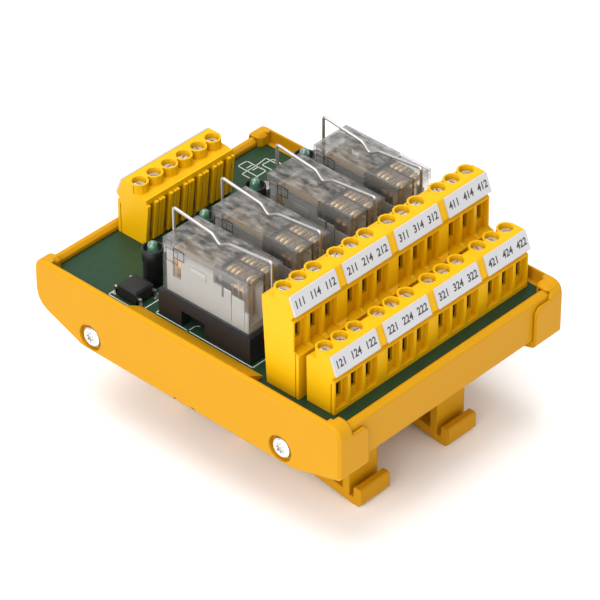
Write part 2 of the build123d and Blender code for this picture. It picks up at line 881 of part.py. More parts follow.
lower_family = Terminal(lower_y, -1, 3.4, 16.1, 5.4, 3.6, terminal_foot, 0.9, False)
input_family = Terminal(input_y, 1, 3.4, 16.1, 5.4, 4.8, terminal_foot, 0.9, True)
upper_family = Terminal(upper_y, -1, 3.2, 28.0, 5.6, 4.6, 7.0, 12.2, False)


def make_terminal(family, pillar, first=-pitch):
    """Terminal housing of three poles about X = 0: collars, wire entries and chambers."""
    left = first - pitch / 2
    width = poles * pitch + pillar
    top = family.level
    xs = [first + pole * pitch for pole in range(poles)]
    half_cell = (pitch - fin_wall) / 2
    entry_low = top - 12.7
    groove_u = family.front_foot - 1.0
    groove_top = top - 4.4
    back_span = family.reach_span(-family.ledge_reach - 0.5, -2.9)
    with BuildPart() as housing:
        side_polygon(family.outline(), left, width)
        with BuildSketch(Plane.XY.offset(board_top_z + top - 3.0)):
            with Locations(*[(x, family.y) for x in xs]):
                RegularPolygon(collar_r, 12)
        extrude(amount=3.0)
        row_boxes(
            (left, left + width), (-0.3, 0.3), family.reach_span(groove_u - 0.15, groove_u + 0.15),
            family.height_span(0, max(family.cell_low, top - 7.4)),
        )
        row_boxes(
            xs, (-half_cell, half_cell), family.reach_span(family.nose - 1.7, family.front_foot + 3),
            family.height_span(family.cell_low + 0.3, top - 6.9),
        )
        row_boxes(
            xs, (-1.25, 1.25), family.reach_span(2.0, family.nose),
            family.height_span(entry_low, entry_low + 4.4),
        )
        row_boxes(
            xs, (-1.95, 1.95), family.reach_span(-2.3, 2.9),
            family.height_span(top - 14.6, top - 5.2),
        )
        row_boxes(
            xs, (-pin_hole_side / 2, pin_hole_side / 2),
            family.reach_span(-pin_hole_side / 2, pin_hole_side / 2),
            family.height_span(0, top - 14.0),
        )
        if family.ribbed:
            row_boxes(xs, (-1.6, -0.1), back_span, family.height_span(groove_top - 6.5, groove_top))
        with BuildSketch(Plane.XY.offset(board_top_z + top)):
            with Locations(*[(x, family.y) for x in xs]):
                RegularPolygon(bore_r, 10)
        extrude(amount=-6.0, mode=Mode.SUBTRACT)
    return housing


def make_terminals():
    """All terminal housings: four lower, four upper and two input blocks."""
    spacer = group_pitch - poles * pitch
    for name, family, first_x in (
        ("lower_terminal", lower_family, lower_x),
        ("upper_terminal", upper_family, upper_x),
    ):
        middles = [first_x + pitch + group * group_pitch for group in range(group_count)]
        export_copies(make_terminal(family, spacer), name, middles[:-1])
        export_copies(make_terminal(family, 0), name, middles[-1:], first=group_count)
    supply_middles = [input_x + pitch, input_x + pitch * (1 + poles)]
    export_copies(make_terminal(input_family, 0), "input_terminal", supply_middles)


def terminal_rows():
    """The three terminal families with the X of their poles."""
    return [
        (lower_family, pole_xs(lower_x, group_count)),
        (upper_family, pole_xs(upper_x, group_count)),
        (input_family, input_xs()),
    ]


def make_terminal_screws():
    """Thirty slotted clamp screws."""
    with BuildPart() as screws:
        for family, xs in terminal_rows():
            places = [(x, family.y) for x in xs]
            head_z = board_top_z + family.level - 2.5
            with BuildSketch(Plane.XY.offset(head_z)):
                with Locations(*places):
                    RegularPolygon(terminal_head_r, 8)
            extrude(amount=1.5)
            with BuildSketch(Plane.XY.offset(head_z)):
                with Locations(*places):
                    RegularPolygon(terminal_screw_r, 4)
            extrude(amount=-8.5)
            with BuildSketch(Plane.XY.offset(head_z + 1.5)):
                with Locations(*places):
                    Rectangle(0.55, 2 * terminal_head_r + 0.2)
            extrude(amount=-0.8, mode=Mode.SUBTRACT)
    screws.part.label = "terminal_screws"
    export_step(screws.part, "parts/terminal_screws.step")


def make_terminal_clamps():
    """Thirty clamp cages with their solder pins."""
    half = clamp_width / 2
    inner = half - clamp_wall
    with BuildPart() as clamps:
        for family, xs in terminal_rows():
            low = family.level - 14.4
            row_boxes(
                xs, (-half, half), family.reach_span(-2.1, 2.7),
                family.height_span(low, low + 6.8), mode=Mode.ADD,
            )
            row_boxes(
                xs, (-inner, inner), family.reach_span(-2.1, 2.7),
                family.height_span(low + clamp_wall, low + 6.8 - clamp_wall),
            )
            with BuildSketch(Plane.XY.offset(board_top_z + low + 6.8)):
                with Locations(*[(x, family.y) for x in xs]):
                    RegularPolygon(terminal_screw_r + 0.1, 4)
            extrude(amount=-clamp_wall, mode=Mode.SUBTRACT)
            row_boxes(
                xs, (-pin_side / 2, pin_side / 2), family.reach_span(-pin_side / 2, pin_side / 2),
                (board_under_z - pin_below_board, board_top_z + low + 0.1), mode=Mode.ADD,
            )
    clamps.part.label = "terminal_clamps"
    export_step(clamps.part, "parts/terminal_clamps.step")


def make_markers():
    """Marker strips on the sloped faces of the terminal blocks."""
    strips = []
    for group in range(group_count):
        strips.append((lower_family, lower_x + group * group_pitch))
        strips.append((upper_family, upper_x + group * group_pitch))
    for block in range(2):
        strips.append((input_family, input_x + block * poles * pitch))
    with BuildPart() as markers:
        for family, first_x in strips:
            top = family.level
            low = Vector(*family.place(family.nose, top - 4.8), 0)
            high = Vector(*family.place(family.nose - 1.8, top - 0.2), 0)
            slope = (high - low).normalized()
            out = Vector(family.toward * abs(slope.Y), abs(slope.X), 0)
            near_low = low - slope * 0.1 + out * 0.02
            near_high = high + slope * 0.1 + out * 0.02
            corners = [
                (near_low.X, near_low.Y),
                ((near_low + out * marker_thickness).X, (near_low + out * marker_thickness).Y),
                ((near_high + out * marker_thickness).X, (near_high + out * marker_thickness).Y),
                (near_high.X, near_high.Y),
            ]
            side_polygon(corners, first_x - pitch / 2 + 0.05, poles * pitch - 0.1)
    markers.part.label = "marker_strips"
    export_step(markers.part, "parts/marker_strips.step")


def led_places(offset=0.0):
    """Board places of the four indicators, or of parts beside them."""
    return [(led_x + offset + index * group_pitch, led_y) for index in range(4)]


def make_indicator_parts():
    """Indicators on their spacers, capacitors and bridge rectifiers."""
    spacer_top = board_top_z + led_spacer_height
    with BuildPart() as spacers:
        with BuildSketch(Plane.XY.offset(board_top_z)):
            with Locations(*led_places()):
                RegularPolygon(led_spacer_r, 12)
        extrude(amount=led_spacer_height)
        with BuildSketch(Plane.XY.offset(spacer_top)):
            with Locations(*led_places()):
                RegularPolygon(led_bore_r, 10)
        extrude(amount=-led_seat_depth, mode=Mode.SUBTRACT)
    spacers.part.label = "led_spacers"
    export_step(spacers.part, "parts/led_spacers.step")

    with BuildPart() as leds:
        with BuildSketch(Plane.XY.offset(spacer_top - led_seat_depth)):
            with Locations(*led_places()):
                RegularPolygon(led_r, 8)
        extrude(amount=led_height)
        chamfer(edges().group_by(Axis.Z)[-1], led_r * 0.55)
    leds.part.label = "led_indicators"
    export_step(leds.part, "parts/led_indicators.step")

    with BuildPart() as capacitors:
        with BuildSketch(Plane.XY.offset(board_top_z)):
            with Locations(*[(x, y + capacitor_step_back) for x, y in led_places(capacitor_offset)]):
                RegularPolygon(capacitor_r, 12)
        extrude(amount=capacitor_height)
        chamfer(edges().group_by(Axis.Z)[-1], 0.3)
    capacitors.part.label = "capacitors"
    export_step(capacitors.part, "parts/capacitors.step")

    width, depth, height = rectifier_size
    low = board_top_z + rectifier_standoff
    with BuildPart() as rectifiers:
        for x, led_line in led_places(rectifier_offset):
            y = led_line - rectifier_step_front
            span_box((x - width / 2, x + width / 2), (y - depth / 2, y + depth / 2), (low, low + height))
        chamfer(edges().group_by(Axis.Z)[-1], 0.5)
        for x, led_line in led_places(rectifier_offset):
            for side in (-1, 1):
                face_y = led_line - rectifier_step_front + side * depth / 2
                tip_y = face_y + side * rectifier_leg_reach
                legs = (x - rectifier_leg_pitch / 2, x + rectifier_leg_pitch / 2)
                row_boxes(
                    legs, (-0.3, 0.3), (face_y - side * 0.1, tip_y),
                    (board_top_z + rectifier_leg_top - rectifier_leg_wall, board_top_z + rectifier_leg_top),
                    mode=Mode.ADD,
                )
                row_boxes(
                    legs, (-0.3, 0.3), (tip_y - side * rectifier_leg_wall, tip_y),
                    (board_top_z, board_top_z + rectifier_leg_top), mode=Mode.ADD,
                )
    rectifiers.part.label = "bridge_rectifiers"
    export_step(rectifiers.part, "parts/bridge_rectifiers.step")


make_profile()
make_end_plates()
make_end_plate_screws()
make_feet()
make_board()
make_sockets()
make_relay_bases()
make_relay_covers()
make_relay_coils()
make_armatures()
make_combs()
make_moving_contacts()
make_fixed_contacts()
make_clips()
make_terminals()
make_terminal_screws()
make_terminal_clamps()
make_markers()
make_indicator_parts()
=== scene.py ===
"""Looks of a rail-mounted relay interface module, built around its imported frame."""

from __future__ import annotations

import logging
import math
from dataclasses import dataclass, field
from enum import Enum
from typing import Any, Iterable, Iterator, Sequence

import bmesh
import bpy
from mathutils import Matrix, Vector

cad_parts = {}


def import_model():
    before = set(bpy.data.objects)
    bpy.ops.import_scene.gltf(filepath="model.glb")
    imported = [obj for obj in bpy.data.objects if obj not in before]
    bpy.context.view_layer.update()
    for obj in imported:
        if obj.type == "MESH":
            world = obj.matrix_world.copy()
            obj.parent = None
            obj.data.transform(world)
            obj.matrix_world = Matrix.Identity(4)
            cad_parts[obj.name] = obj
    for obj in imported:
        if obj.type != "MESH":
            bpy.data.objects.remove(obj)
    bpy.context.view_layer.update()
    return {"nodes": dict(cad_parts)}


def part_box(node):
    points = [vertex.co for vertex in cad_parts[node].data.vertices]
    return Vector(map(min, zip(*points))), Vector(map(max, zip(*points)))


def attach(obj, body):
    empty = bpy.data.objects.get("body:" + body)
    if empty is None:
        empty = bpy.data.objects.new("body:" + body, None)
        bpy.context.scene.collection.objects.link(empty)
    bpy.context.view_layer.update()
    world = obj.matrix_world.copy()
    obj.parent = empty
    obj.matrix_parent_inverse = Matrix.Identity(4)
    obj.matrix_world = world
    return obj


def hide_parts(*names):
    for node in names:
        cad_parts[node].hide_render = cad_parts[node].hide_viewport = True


LOG = logging.getLogger("relay_module")
MM = 0.001
PITCH = 5.08  # millimetres from pole to pole
POLES = 3  # poles of one terminal block
GROUP_PITCH = 17.78  # millimetres from one group of three poles to the next
EDGE_MATCH = 0.985  # cosine under which a face lies beside a sharp edge
Colour = tuple[float, float, float]
Point = tuple[float, float, float]
Pair = tuple[float, float]
Line = tuple[Pair, ...]
Form = bmesh.types.BMesh
Nodes = dict[str, bpy.types.Object]


class Facing(Enum):
    """Side that a terminal's marker face looks to."""

    FRONT = -1
    REAR = 1


class Socket:
    """One output of a shader node, with arithmetic that adds Math nodes."""

    def __init__(self, tree: "ShaderTree", out: bpy.types.NodeSocket) -> None:
        """Keep the node tree and the output socket."""
        self.tree = tree
        self.out = out

    def _math(self, operation: str, first: Any, second: Any) -> "Socket":
        """Add a Math node.

        Args:
            operation: Name of the Math operation.
            first: Number or socket for the first input.
            second: Number or socket for the second input.

        Returns:
            The result as a socket.
        """
        node = self.tree.make("ShaderNodeMath", {"operation": operation}, {0: first, 1: second})
        return Socket(self.tree, node.outputs[0])

    def __add__(self, other: Any) -> "Socket":
        """Sum with a number or socket."""
        return self._math("ADD", self, other)

    __radd__ = __add__

    def __sub__(self, other: Any) -> "Socket":
        """Difference from this socket."""
        return self._math("SUBTRACT", self, other)

    def __rsub__(self, other: Any) -> "Socket":
        """Difference from a number."""
        return self._math("SUBTRACT", other, self)

    def __mul__(self, other: Any) -> "Socket":
        """Product with a number or socket."""
        return self._math("MULTIPLY", self, other)

    __rmul__ = __mul__

    def __gt__(self, other: Any) -> "Socket":
        """One where this socket is larger, otherwise zero."""
        return self._math("GREATER_THAN", self, other)

    def __lt__(self, other: Any) -> "Socket":
        """One where this socket is smaller, otherwise zero."""
        return self._math("LESS_THAN", self, other)


class ShaderTree:
    """Node tree of a material or a world, filled by a single node-making method."""

    def __init__(self, name: str, world: bpy.types.World | None = None) -> None:
        """Start an empty node tree.

        Args:
            name: Name of the new material.
            world: World to fill in place of a new material.
        """
        self.owner = world or bpy.data.materials.new(name)
        self.owner.use_nodes = True
        self.nodes = self.owner.node_tree.nodes
        self.links = self.owner.node_tree.links
        self.nodes.clear()

    def make(self, kind: str, settings: dict[str, Any], inputs: dict[Any, Any]) -> bpy.types.Node:
        """Add one node.

        Args:
            kind: Blender's type name of the node.
            settings: Node properties, set first; "stops" holds a ramp's places and colours.
            inputs: Values or sockets for the node's inputs, by name or number.

        Returns:
            The new node.
        """
        node = self.nodes.new(kind)
        for key, value in settings.items():
            if key == "stops":
                ramp = node.color_ramp
                while len(ramp.elements) < len(value):
                    ramp.elements.new(0.5)
                for element, (place, colour) in zip(ramp.elements, value):
                    element.position = place
                    element.color = (*colour, 1.0)
            else:
                setattr(node, key, value)
        for key, value in inputs.items():
            if isinstance(value, Socket):
                self.links.new(value.out, node.inputs[key])
            else:
                node.inputs[key].default_value = value
        return node

    def socket(self, node: bpy.types.Node, name: Any = 0) -> Socket:
        """Wrap a node's output."""
        return Socket(self, node.outputs[name])

    def place(self, scale: Point = (1.0, 1.0, 1.0)) -> Socket:
        """Object coordinates, stretched along each axis.

        Args:
            scale: Factor for each axis.

        Returns:
            The coordinates as a vector socket.
        """
        source = self.socket(self.make("ShaderNodeTexCoord", {}, {}), "Object")
        mapped = self.make("ShaderNodeMapping", {}, {"Vector": source, "Scale": scale})
        return self.socket(mapped, "Vector")

    def axes(self) -> tuple[Socket, Socket, Socket]:
        """Object coordinates as three value sockets."""
        parts = self.make("ShaderNodeSeparateXYZ", {}, {"Vector": self.place()})
        return self.socket(parts, "X"), self.socket(parts, "Y"), self.socket(parts, "Z")

    def noise(self, scale: float, detail: float = 2.0, stretch: Point = (1.0, 1.0, 1.0)) -> Socket:
        """Noise value over the surface.

        Args:
            scale: Noise cells to a metre.
            detail: Number of octaves.
            stretch: Factor for each axis.

        Returns:
            The noise as a value socket.
        """
        inputs = {"Vector": self.place(stretch), "Scale": scale, "Detail": detail}
        return self.socket(self.make("ShaderNodeTexNoise", {}, inputs))

    def mix(self, factor: Any, first: Any, second: Any) -> Socket:
        """Mix two colours.

        Args:
            factor: Share of the second colour.
            first: Colour or socket.
            second: Colour or socket.

        Returns:
            The mixed colour.
        """
        inputs = {0: factor, 6: _with_alpha(first), 7: _with_alpha(second)}
        return self.socket(self.make("ShaderNodeMix", {"data_type": "RGBA"}, inputs), 2)

    def soft_edges(self, radius: float) -> Socket:
        """Normal that rounds sharp edges by a radius in metres."""
        return self.socket(self.make("ShaderNodeBevel", {"samples": 4}, {"Radius": radius}), 0)

    def near_edges(self, radius: float) -> Socket:
        """One beside a sharp edge, zero on the open faces.

        Args:
            radius: Reach from the edge in metres.

        Returns:
            The mask as a value socket.
        """
        plain = self.socket(self.make("ShaderNodeNewGeometry", {}, {}), "True Normal")
        normals = {0: self.soft_edges(radius), 1: plain}
        match = self.make("ShaderNodeVectorMath", {"operation": "DOT_PRODUCT"}, normals)
        return self.socket(match, "Value") < EDGE_MATCH

    def bump(self, height: Socket, distance: float, strength: float, normal: Socket) -> Socket:
        """Normal of a rough surface.

        Args:
            height: Height pattern.
            distance: Height of the pattern in metres.
            strength: Share of the effect.
            normal: Normal under the pattern.

        Returns:
            The bumped normal.
        """
        inputs = {"Height": height, "Distance": distance, "Strength": strength, "Normal": normal}
        return self.socket(self.make("ShaderNodeBump", {}, inputs))

    def finish(self, inputs: dict[str, Any]) -> bpy.types.Material:
        """Close the material with a Principled shader.

        Args:
            inputs: Values or sockets of the shader.

        Returns:
            The finished material.
        """
        shader = self.make("ShaderNodeBsdfPrincipled", {}, inputs)
        self.make("ShaderNodeOutputMaterial", {}, {"Surface": self.socket(shader, 0)})
        return self.owner


def _with_alpha(colour: Any) -> Any:
    """Colour with an alpha of one, or a socket as it is."""
    return colour if isinstance(colour, Socket) else (*colour, 1.0)


@dataclass(frozen=True)
class MouldedPlastic:
    """Opaque moulded plastic with spark-eroded grain and softened edges."""

    name: str
    colour: Colour
    deep: Colour
    roughness: float = 0.4
    edge: float = 0.1 * MM
    grain: float = 0.06
    scatter: float = 0.0
    gloss: float = 0.35

    def build(self) -> bpy.types.Material:
        """Make the material."""
        tree = ShaderTree(self.name)
        cloud = tree.noise(90.0, 3.0)
        speck = tree.noise(2500.0)
        shade = tree.mix(cloud * 0.5 + speck * 0.25, self.deep, self.colour)
        grain = tree.noise(5200.0)
        normal = tree.bump(grain, 0.02 * MM, self.grain, tree.soft_edges(self.edge))
        return tree.finish({
            "Base Color": shade,
            "Roughness": speck * 0.12 + (self.roughness - 0.06),
            "Normal": normal,
            "Specular IOR Level": self.gloss,
            "Subsurface Weight": self.scatter,
            "Subsurface Radius": (0.002, 0.001, 0.0004),
        })


@dataclass(frozen=True)
class ClearPlastic:
    """Smoky clear cover with an embossed lid over the coil and a clear front over the contacts."""

    name: str
    colour: Colour = (0.24, 0.235, 0.225)
    # The lid's own grey, painted lighter and darker as painted light and shade of the embossed
    # relief.
    lid_grey_lit: Colour = (0.3, 0.285, 0.265)
    lid_grey_shaded: Colour = (0.035, 0.033, 0.031)
    # Painted shade: dark colour laid along the cover's sharp edges.
    line: Colour = (0.03, 0.029, 0.028)
    body: float = 0.05
    lid_height: float = 59.3 * MM
    lid_front: float = -4.6 * MM
    band_height: float = 56.2 * MM
    edge: float = 0.3 * MM

    def build(self) -> bpy.types.Material:
        """Make the material."""
        tree = ShaderTree(self.name)
        rim = tree.socket(tree.make("ShaderNodeLayerWeight", {}, {"Blend": 0.5}), "Facing")
        _, along, height = tree.axes()
        haze = tree.noise(1500.0, 3.0)
        cloud = tree.noise(260.0)
        relief = tree.noise(620.0, stretch=(1.0, 0.45, 1.0))
        top = height > self.lid_height
        lid = top * (along > self.lid_front)
        band = height > self.band_height
        # Painted shade: beside the sharp edges the colour turns dark and the cover turns more
        # opaque.
        edge = tree.near_edges(self.edge)
        # Painted light and shade of the embossing: the lid's colour follows the relief noise and is
        # lighter where the relief is raised.
        relief_light_and_shade = haze * 0.5 + relief * 2.4 + cloud * 0.8 - 1.45
        dull = tree.mix(relief_light_and_shade, self.lid_grey_shaded, self.lid_grey_lit)
        tint = tree.mix(edge * 0.85, tree.mix(lid, self.colour, dull), self.line)
        veil = rim * 0.2 + haze * 0.04 + self.body + edge * 0.55
        soft = tree.soft_edges(self.edge)
        normal = tree.bump(cloud + relief * 0.5, 0.12 * MM, lid * 0.45 + 0.05, soft)
        return tree.finish({
            "Base Color": tint,
            "Roughness": haze * 0.1 + 0.06,
            "Alpha": veil + lid * (cloud * 0.3 + 0.4) + (band - top) * 0.2,
            "Normal": normal,
            "Specular IOR Level": 0.8,
        })


@dataclass(frozen=True)
class WorkedMetal:
    """Plated, drawn or stamped metal."""

    name: str
    colour: Colour
    deep: Colour
    roughness: float = 0.3
    along: Point = (1.0, 1.0, 1.0)
    edge: float = 0.08 * MM

    def build(self) -> bpy.types.Material:
        """Make the material."""
        tree = ShaderTree(self.name)
        streak = tree.noise(1800.0, 3.0, self.along)
        stain = tree.noise(350.0)
        normal = tree.bump(streak, 0.01 * MM, 0.25, tree.soft_edges(self.edge))
        return tree.finish({
            "Base Color": tree.mix(stain * 0.7 + streak * 0.3, self.deep, self.colour),
            "Metallic": 1.0,
            "Roughness": streak * 0.18 + (self.roughness - 0.06),
            "Normal": normal,
        })


@dataclass(frozen=True)
class BoardLacquer:
    """Green solder resist over faint copper lanes."""

    name: str
    colour: Colour = (0.012, 0.042, 0.018)
    track: Colour = (0.009, 0.036, 0.015)
    bloom: Colour = (0.02, 0.06, 0.027)

    def build(self) -> bpy.types.Material:
        """Make the material."""
        tree = ShaderTree(self.name)
        lanes = tree.make(
            "ShaderNodeTexBrick",
            {"offset": 0.37, "offset_frequency": 2, "squash": 0.7, "squash_frequency": 3},
            {
                "Vector": tree.place(),
                "Color1": (1.0, 1.0, 1.0, 1.0),
                "Color2": (1.0, 1.0, 1.0, 1.0),
                "Mortar": (0.0, 0.0, 0.0, 1.0),
                "Scale": 95.0,
                "Mortar Size": 0.018,
                "Brick Width": 0.9,
                "Row Height": 0.31,
            },
        )
        copper = tree.socket(lanes, "Fac")
        cloud = tree.noise(120.0)
        weave = tree.noise(3000.0, 1.0)
        base = tree.mix(copper, self.track, self.colour)
        shade = tree.mix(cloud * 0.35, base, self.bloom)
        normal = tree.bump(copper * -1.0 + weave * 0.2, 0.03 * MM, 0.2, tree.soft_edges(0.1 * MM))
        return tree.finish({
            "Base Color": shade,
            "Roughness": weave * 0.1 + 0.34,
            "Normal": normal,
            "Specular IOR Level": 0.25,
        })


@dataclass(frozen=True)
class WoundCoil:
    """Evenly ridged part: the turns of a winding, or the leaves of a contact pack, with painted
    shade in the valleys.
    """

    name: str
    ridge: Colour = (0.95, 0.68, 0.34)
    # Painted shade: the valleys between the ridges are coloured darker.
    valley_shade: Colour = (0.85, 0.56, 0.25)
    turns_per_metre: float = 3200.0
    metallic: float = 0.1

    def build(self) -> bpy.types.Material:
        """Make the material."""
        tree = ShaderTree(self.name)
        wave = tree.make(
            "ShaderNodeTexWave",
            {"wave_type": "BANDS", "bands_direction": "Y", "wave_profile": "SIN"},
            {"Vector": tree.place(), "Scale": self.turns_per_metre / 6.0, "Distortion": 0.8},
        )
        turn = tree.socket(wave, 1)
        speck = tree.noise(900.0)
        # Painted shade: the colour darkens into each valley of the wave; the speck adds random
        # tone.
        shade = tree.mix(turn * 0.6 + speck * 0.3, self.valley_shade, self.ridge)
        return tree.finish({
            "Base Color": shade,
            "Metallic": self.metallic,
            "Roughness": 0.34,
            "Normal": tree.bump(turn, 0.06 * MM, 0.6, tree.soft_edges(0.1 * MM)),
        })


@dataclass(frozen=True)
class LampLens:
    """Tinted lens of an indicator lamp."""

    name: str
    colour: Colour = (0.04, 0.13, 0.075)
    glow: Colour = (0.08, 0.2, 0.13)

    def build(self) -> bpy.types.Material:
        """Make the material."""
        tree = ShaderTree(self.name)
        depth = tree.noise(700.0, 1.0)
        return tree.finish({
            "Base Color": tree.mix(depth, self.colour, self.glow),
            "Roughness": depth * 0.05 + 0.1,
            "Specular IOR Level": 0.9,
            "Subsurface Weight": 0.3,
            "Subsurface Radius": (0.001, 0.002, 0.0015),
            "Coat Weight": 0.6,
            "Coat Roughness": 0.04,
        })


@dataclass(frozen=True)
class PrintedInk:
    """Thin printed ink, slightly uneven."""

    name: str
    colour: Colour
    roughness: float = 0.5

    def build(self) -> bpy.types.Material:
        """Make the material."""
        tree = ShaderTree(self.name)
        wear = tree.noise(1500.0, 3.0)
        tint = tuple(min(1.0, channel * 0.8 + 0.02) for channel in self.colour)
        return tree.finish({
            "Base Color": tree.mix(wear * 0.5, self.colour, tint),
            "Roughness": wear * 0.1 + self.roughness,
        })


@dataclass
class FinishRack:
    """Every finish of the module, made once and handed out by name."""

    made: dict[str, bpy.types.Material] = field(default_factory=dict)

    def stock(self) -> None:
        """Make all finishes."""
        finishes = [
            MouldedPlastic(
                "carrier_orange", (0.53, 0.258, 0.003), (0.5, 0.232, 0.002),
                roughness=0.5, edge=0.6 * MM, grain=0.08, scatter=0.04, gloss=0.12,
            ),
            MouldedPlastic(
                "terminal_yellow", (0.72, 0.4, 0.002), (0.66, 0.35, 0.001),
                roughness=0.45, edge=0.16 * MM, grain=0.05, scatter=0.05, gloss=0.16,
            ),
            MouldedPlastic(
                "socket_charcoal", (0.01, 0.0115, 0.016), (0.007, 0.008, 0.011),
                roughness=0.45, edge=0.2 * MM, grain=0.1,
            ),
            MouldedPlastic(
                "relay_ivory", (0.45, 0.435, 0.405), (0.39, 0.37, 0.335),
                roughness=0.45, scatter=0.05,
            ),
            MouldedPlastic(
                "marker_white", (0.52, 0.515, 0.525), (0.48, 0.475, 0.485),
                roughness=0.5, grain=0.04,
            ),
            MouldedPlastic(
                "spacer_black", (0.008, 0.008, 0.009), (0.005, 0.005, 0.005), grain=0.08
            ),
            MouldedPlastic(
                "rectifier_black", (0.01, 0.01, 0.011), (0.007, 0.007, 0.007),
                roughness=0.5, grain=0.12,
            ),
            MouldedPlastic(
                "capacitor_sleeve", (0.014, 0.014, 0.02), (0.008, 0.008, 0.012),
                roughness=0.28, grain=0.04,
            ),
            # Near-black finish for the painted shade lines along the relay covers' edges and latch
            # outline.
            MouldedPlastic(
                "edge_shade_dark", (0.015, 0.014, 0.013), (0.01, 0.009, 0.008),
                edge=0.05 * MM, grain=0.04,
            ),
            ClearPlastic("relay_clear"),
            WorkedMetal("screw_plated", (0.8, 0.79, 0.77), (0.6, 0.59, 0.57), 0.32),
            WorkedMetal("clamp_plated", (0.5, 0.49, 0.46), (0.3, 0.29, 0.27), 0.36),
            WorkedMetal(
                "wire_drawn", (0.5, 0.485, 0.46), (0.4, 0.385, 0.365),
                roughness=0.38, along=(4.0, 0.3, 0.3),
            ),
            WorkedMetal("lead_tinned", (0.66, 0.65, 0.62), (0.46, 0.45, 0.42), 0.28),
            WorkedMetal("armature_iron", (0.4, 0.4, 0.41), (0.28, 0.28, 0.29), 0.38),
            WorkedMetal("contact_bronze", (0.95, 0.74, 0.45), (0.72, 0.5, 0.26), 0.3),
            BoardLacquer("board_green"),
            WoundCoil("coil_amber"),
            WoundCoil("comb_amber", (0.3, 0.19, 0.09), (0.12, 0.075, 0.035), 900.0),
            LampLens("lamp_green"),
            PrintedInk("ink_black", (0.03, 0.03, 0.033)),
            PrintedInk("ink_white", (0.5, 0.54, 0.5)),
            # Painted shade for the joints between marker tags, laid as a thin layer like the inks.
            PrintedInk("seam_shade_grey", (0.4, 0.4, 0.41)),
        ]
        for finish in finishes:
            self.made[finish.name] = finish.build()
            LOG.info("finish %s made", finish.name)

    def dress(self, thing: bpy.types.Object, name: str) -> None:
        """Give an object one finish in place of all others.

        Args:
            thing: Object to dress.
            name: Name of the finish.
        """
        thing.data.materials.clear()
        thing.data.materials.append(self.made[name])


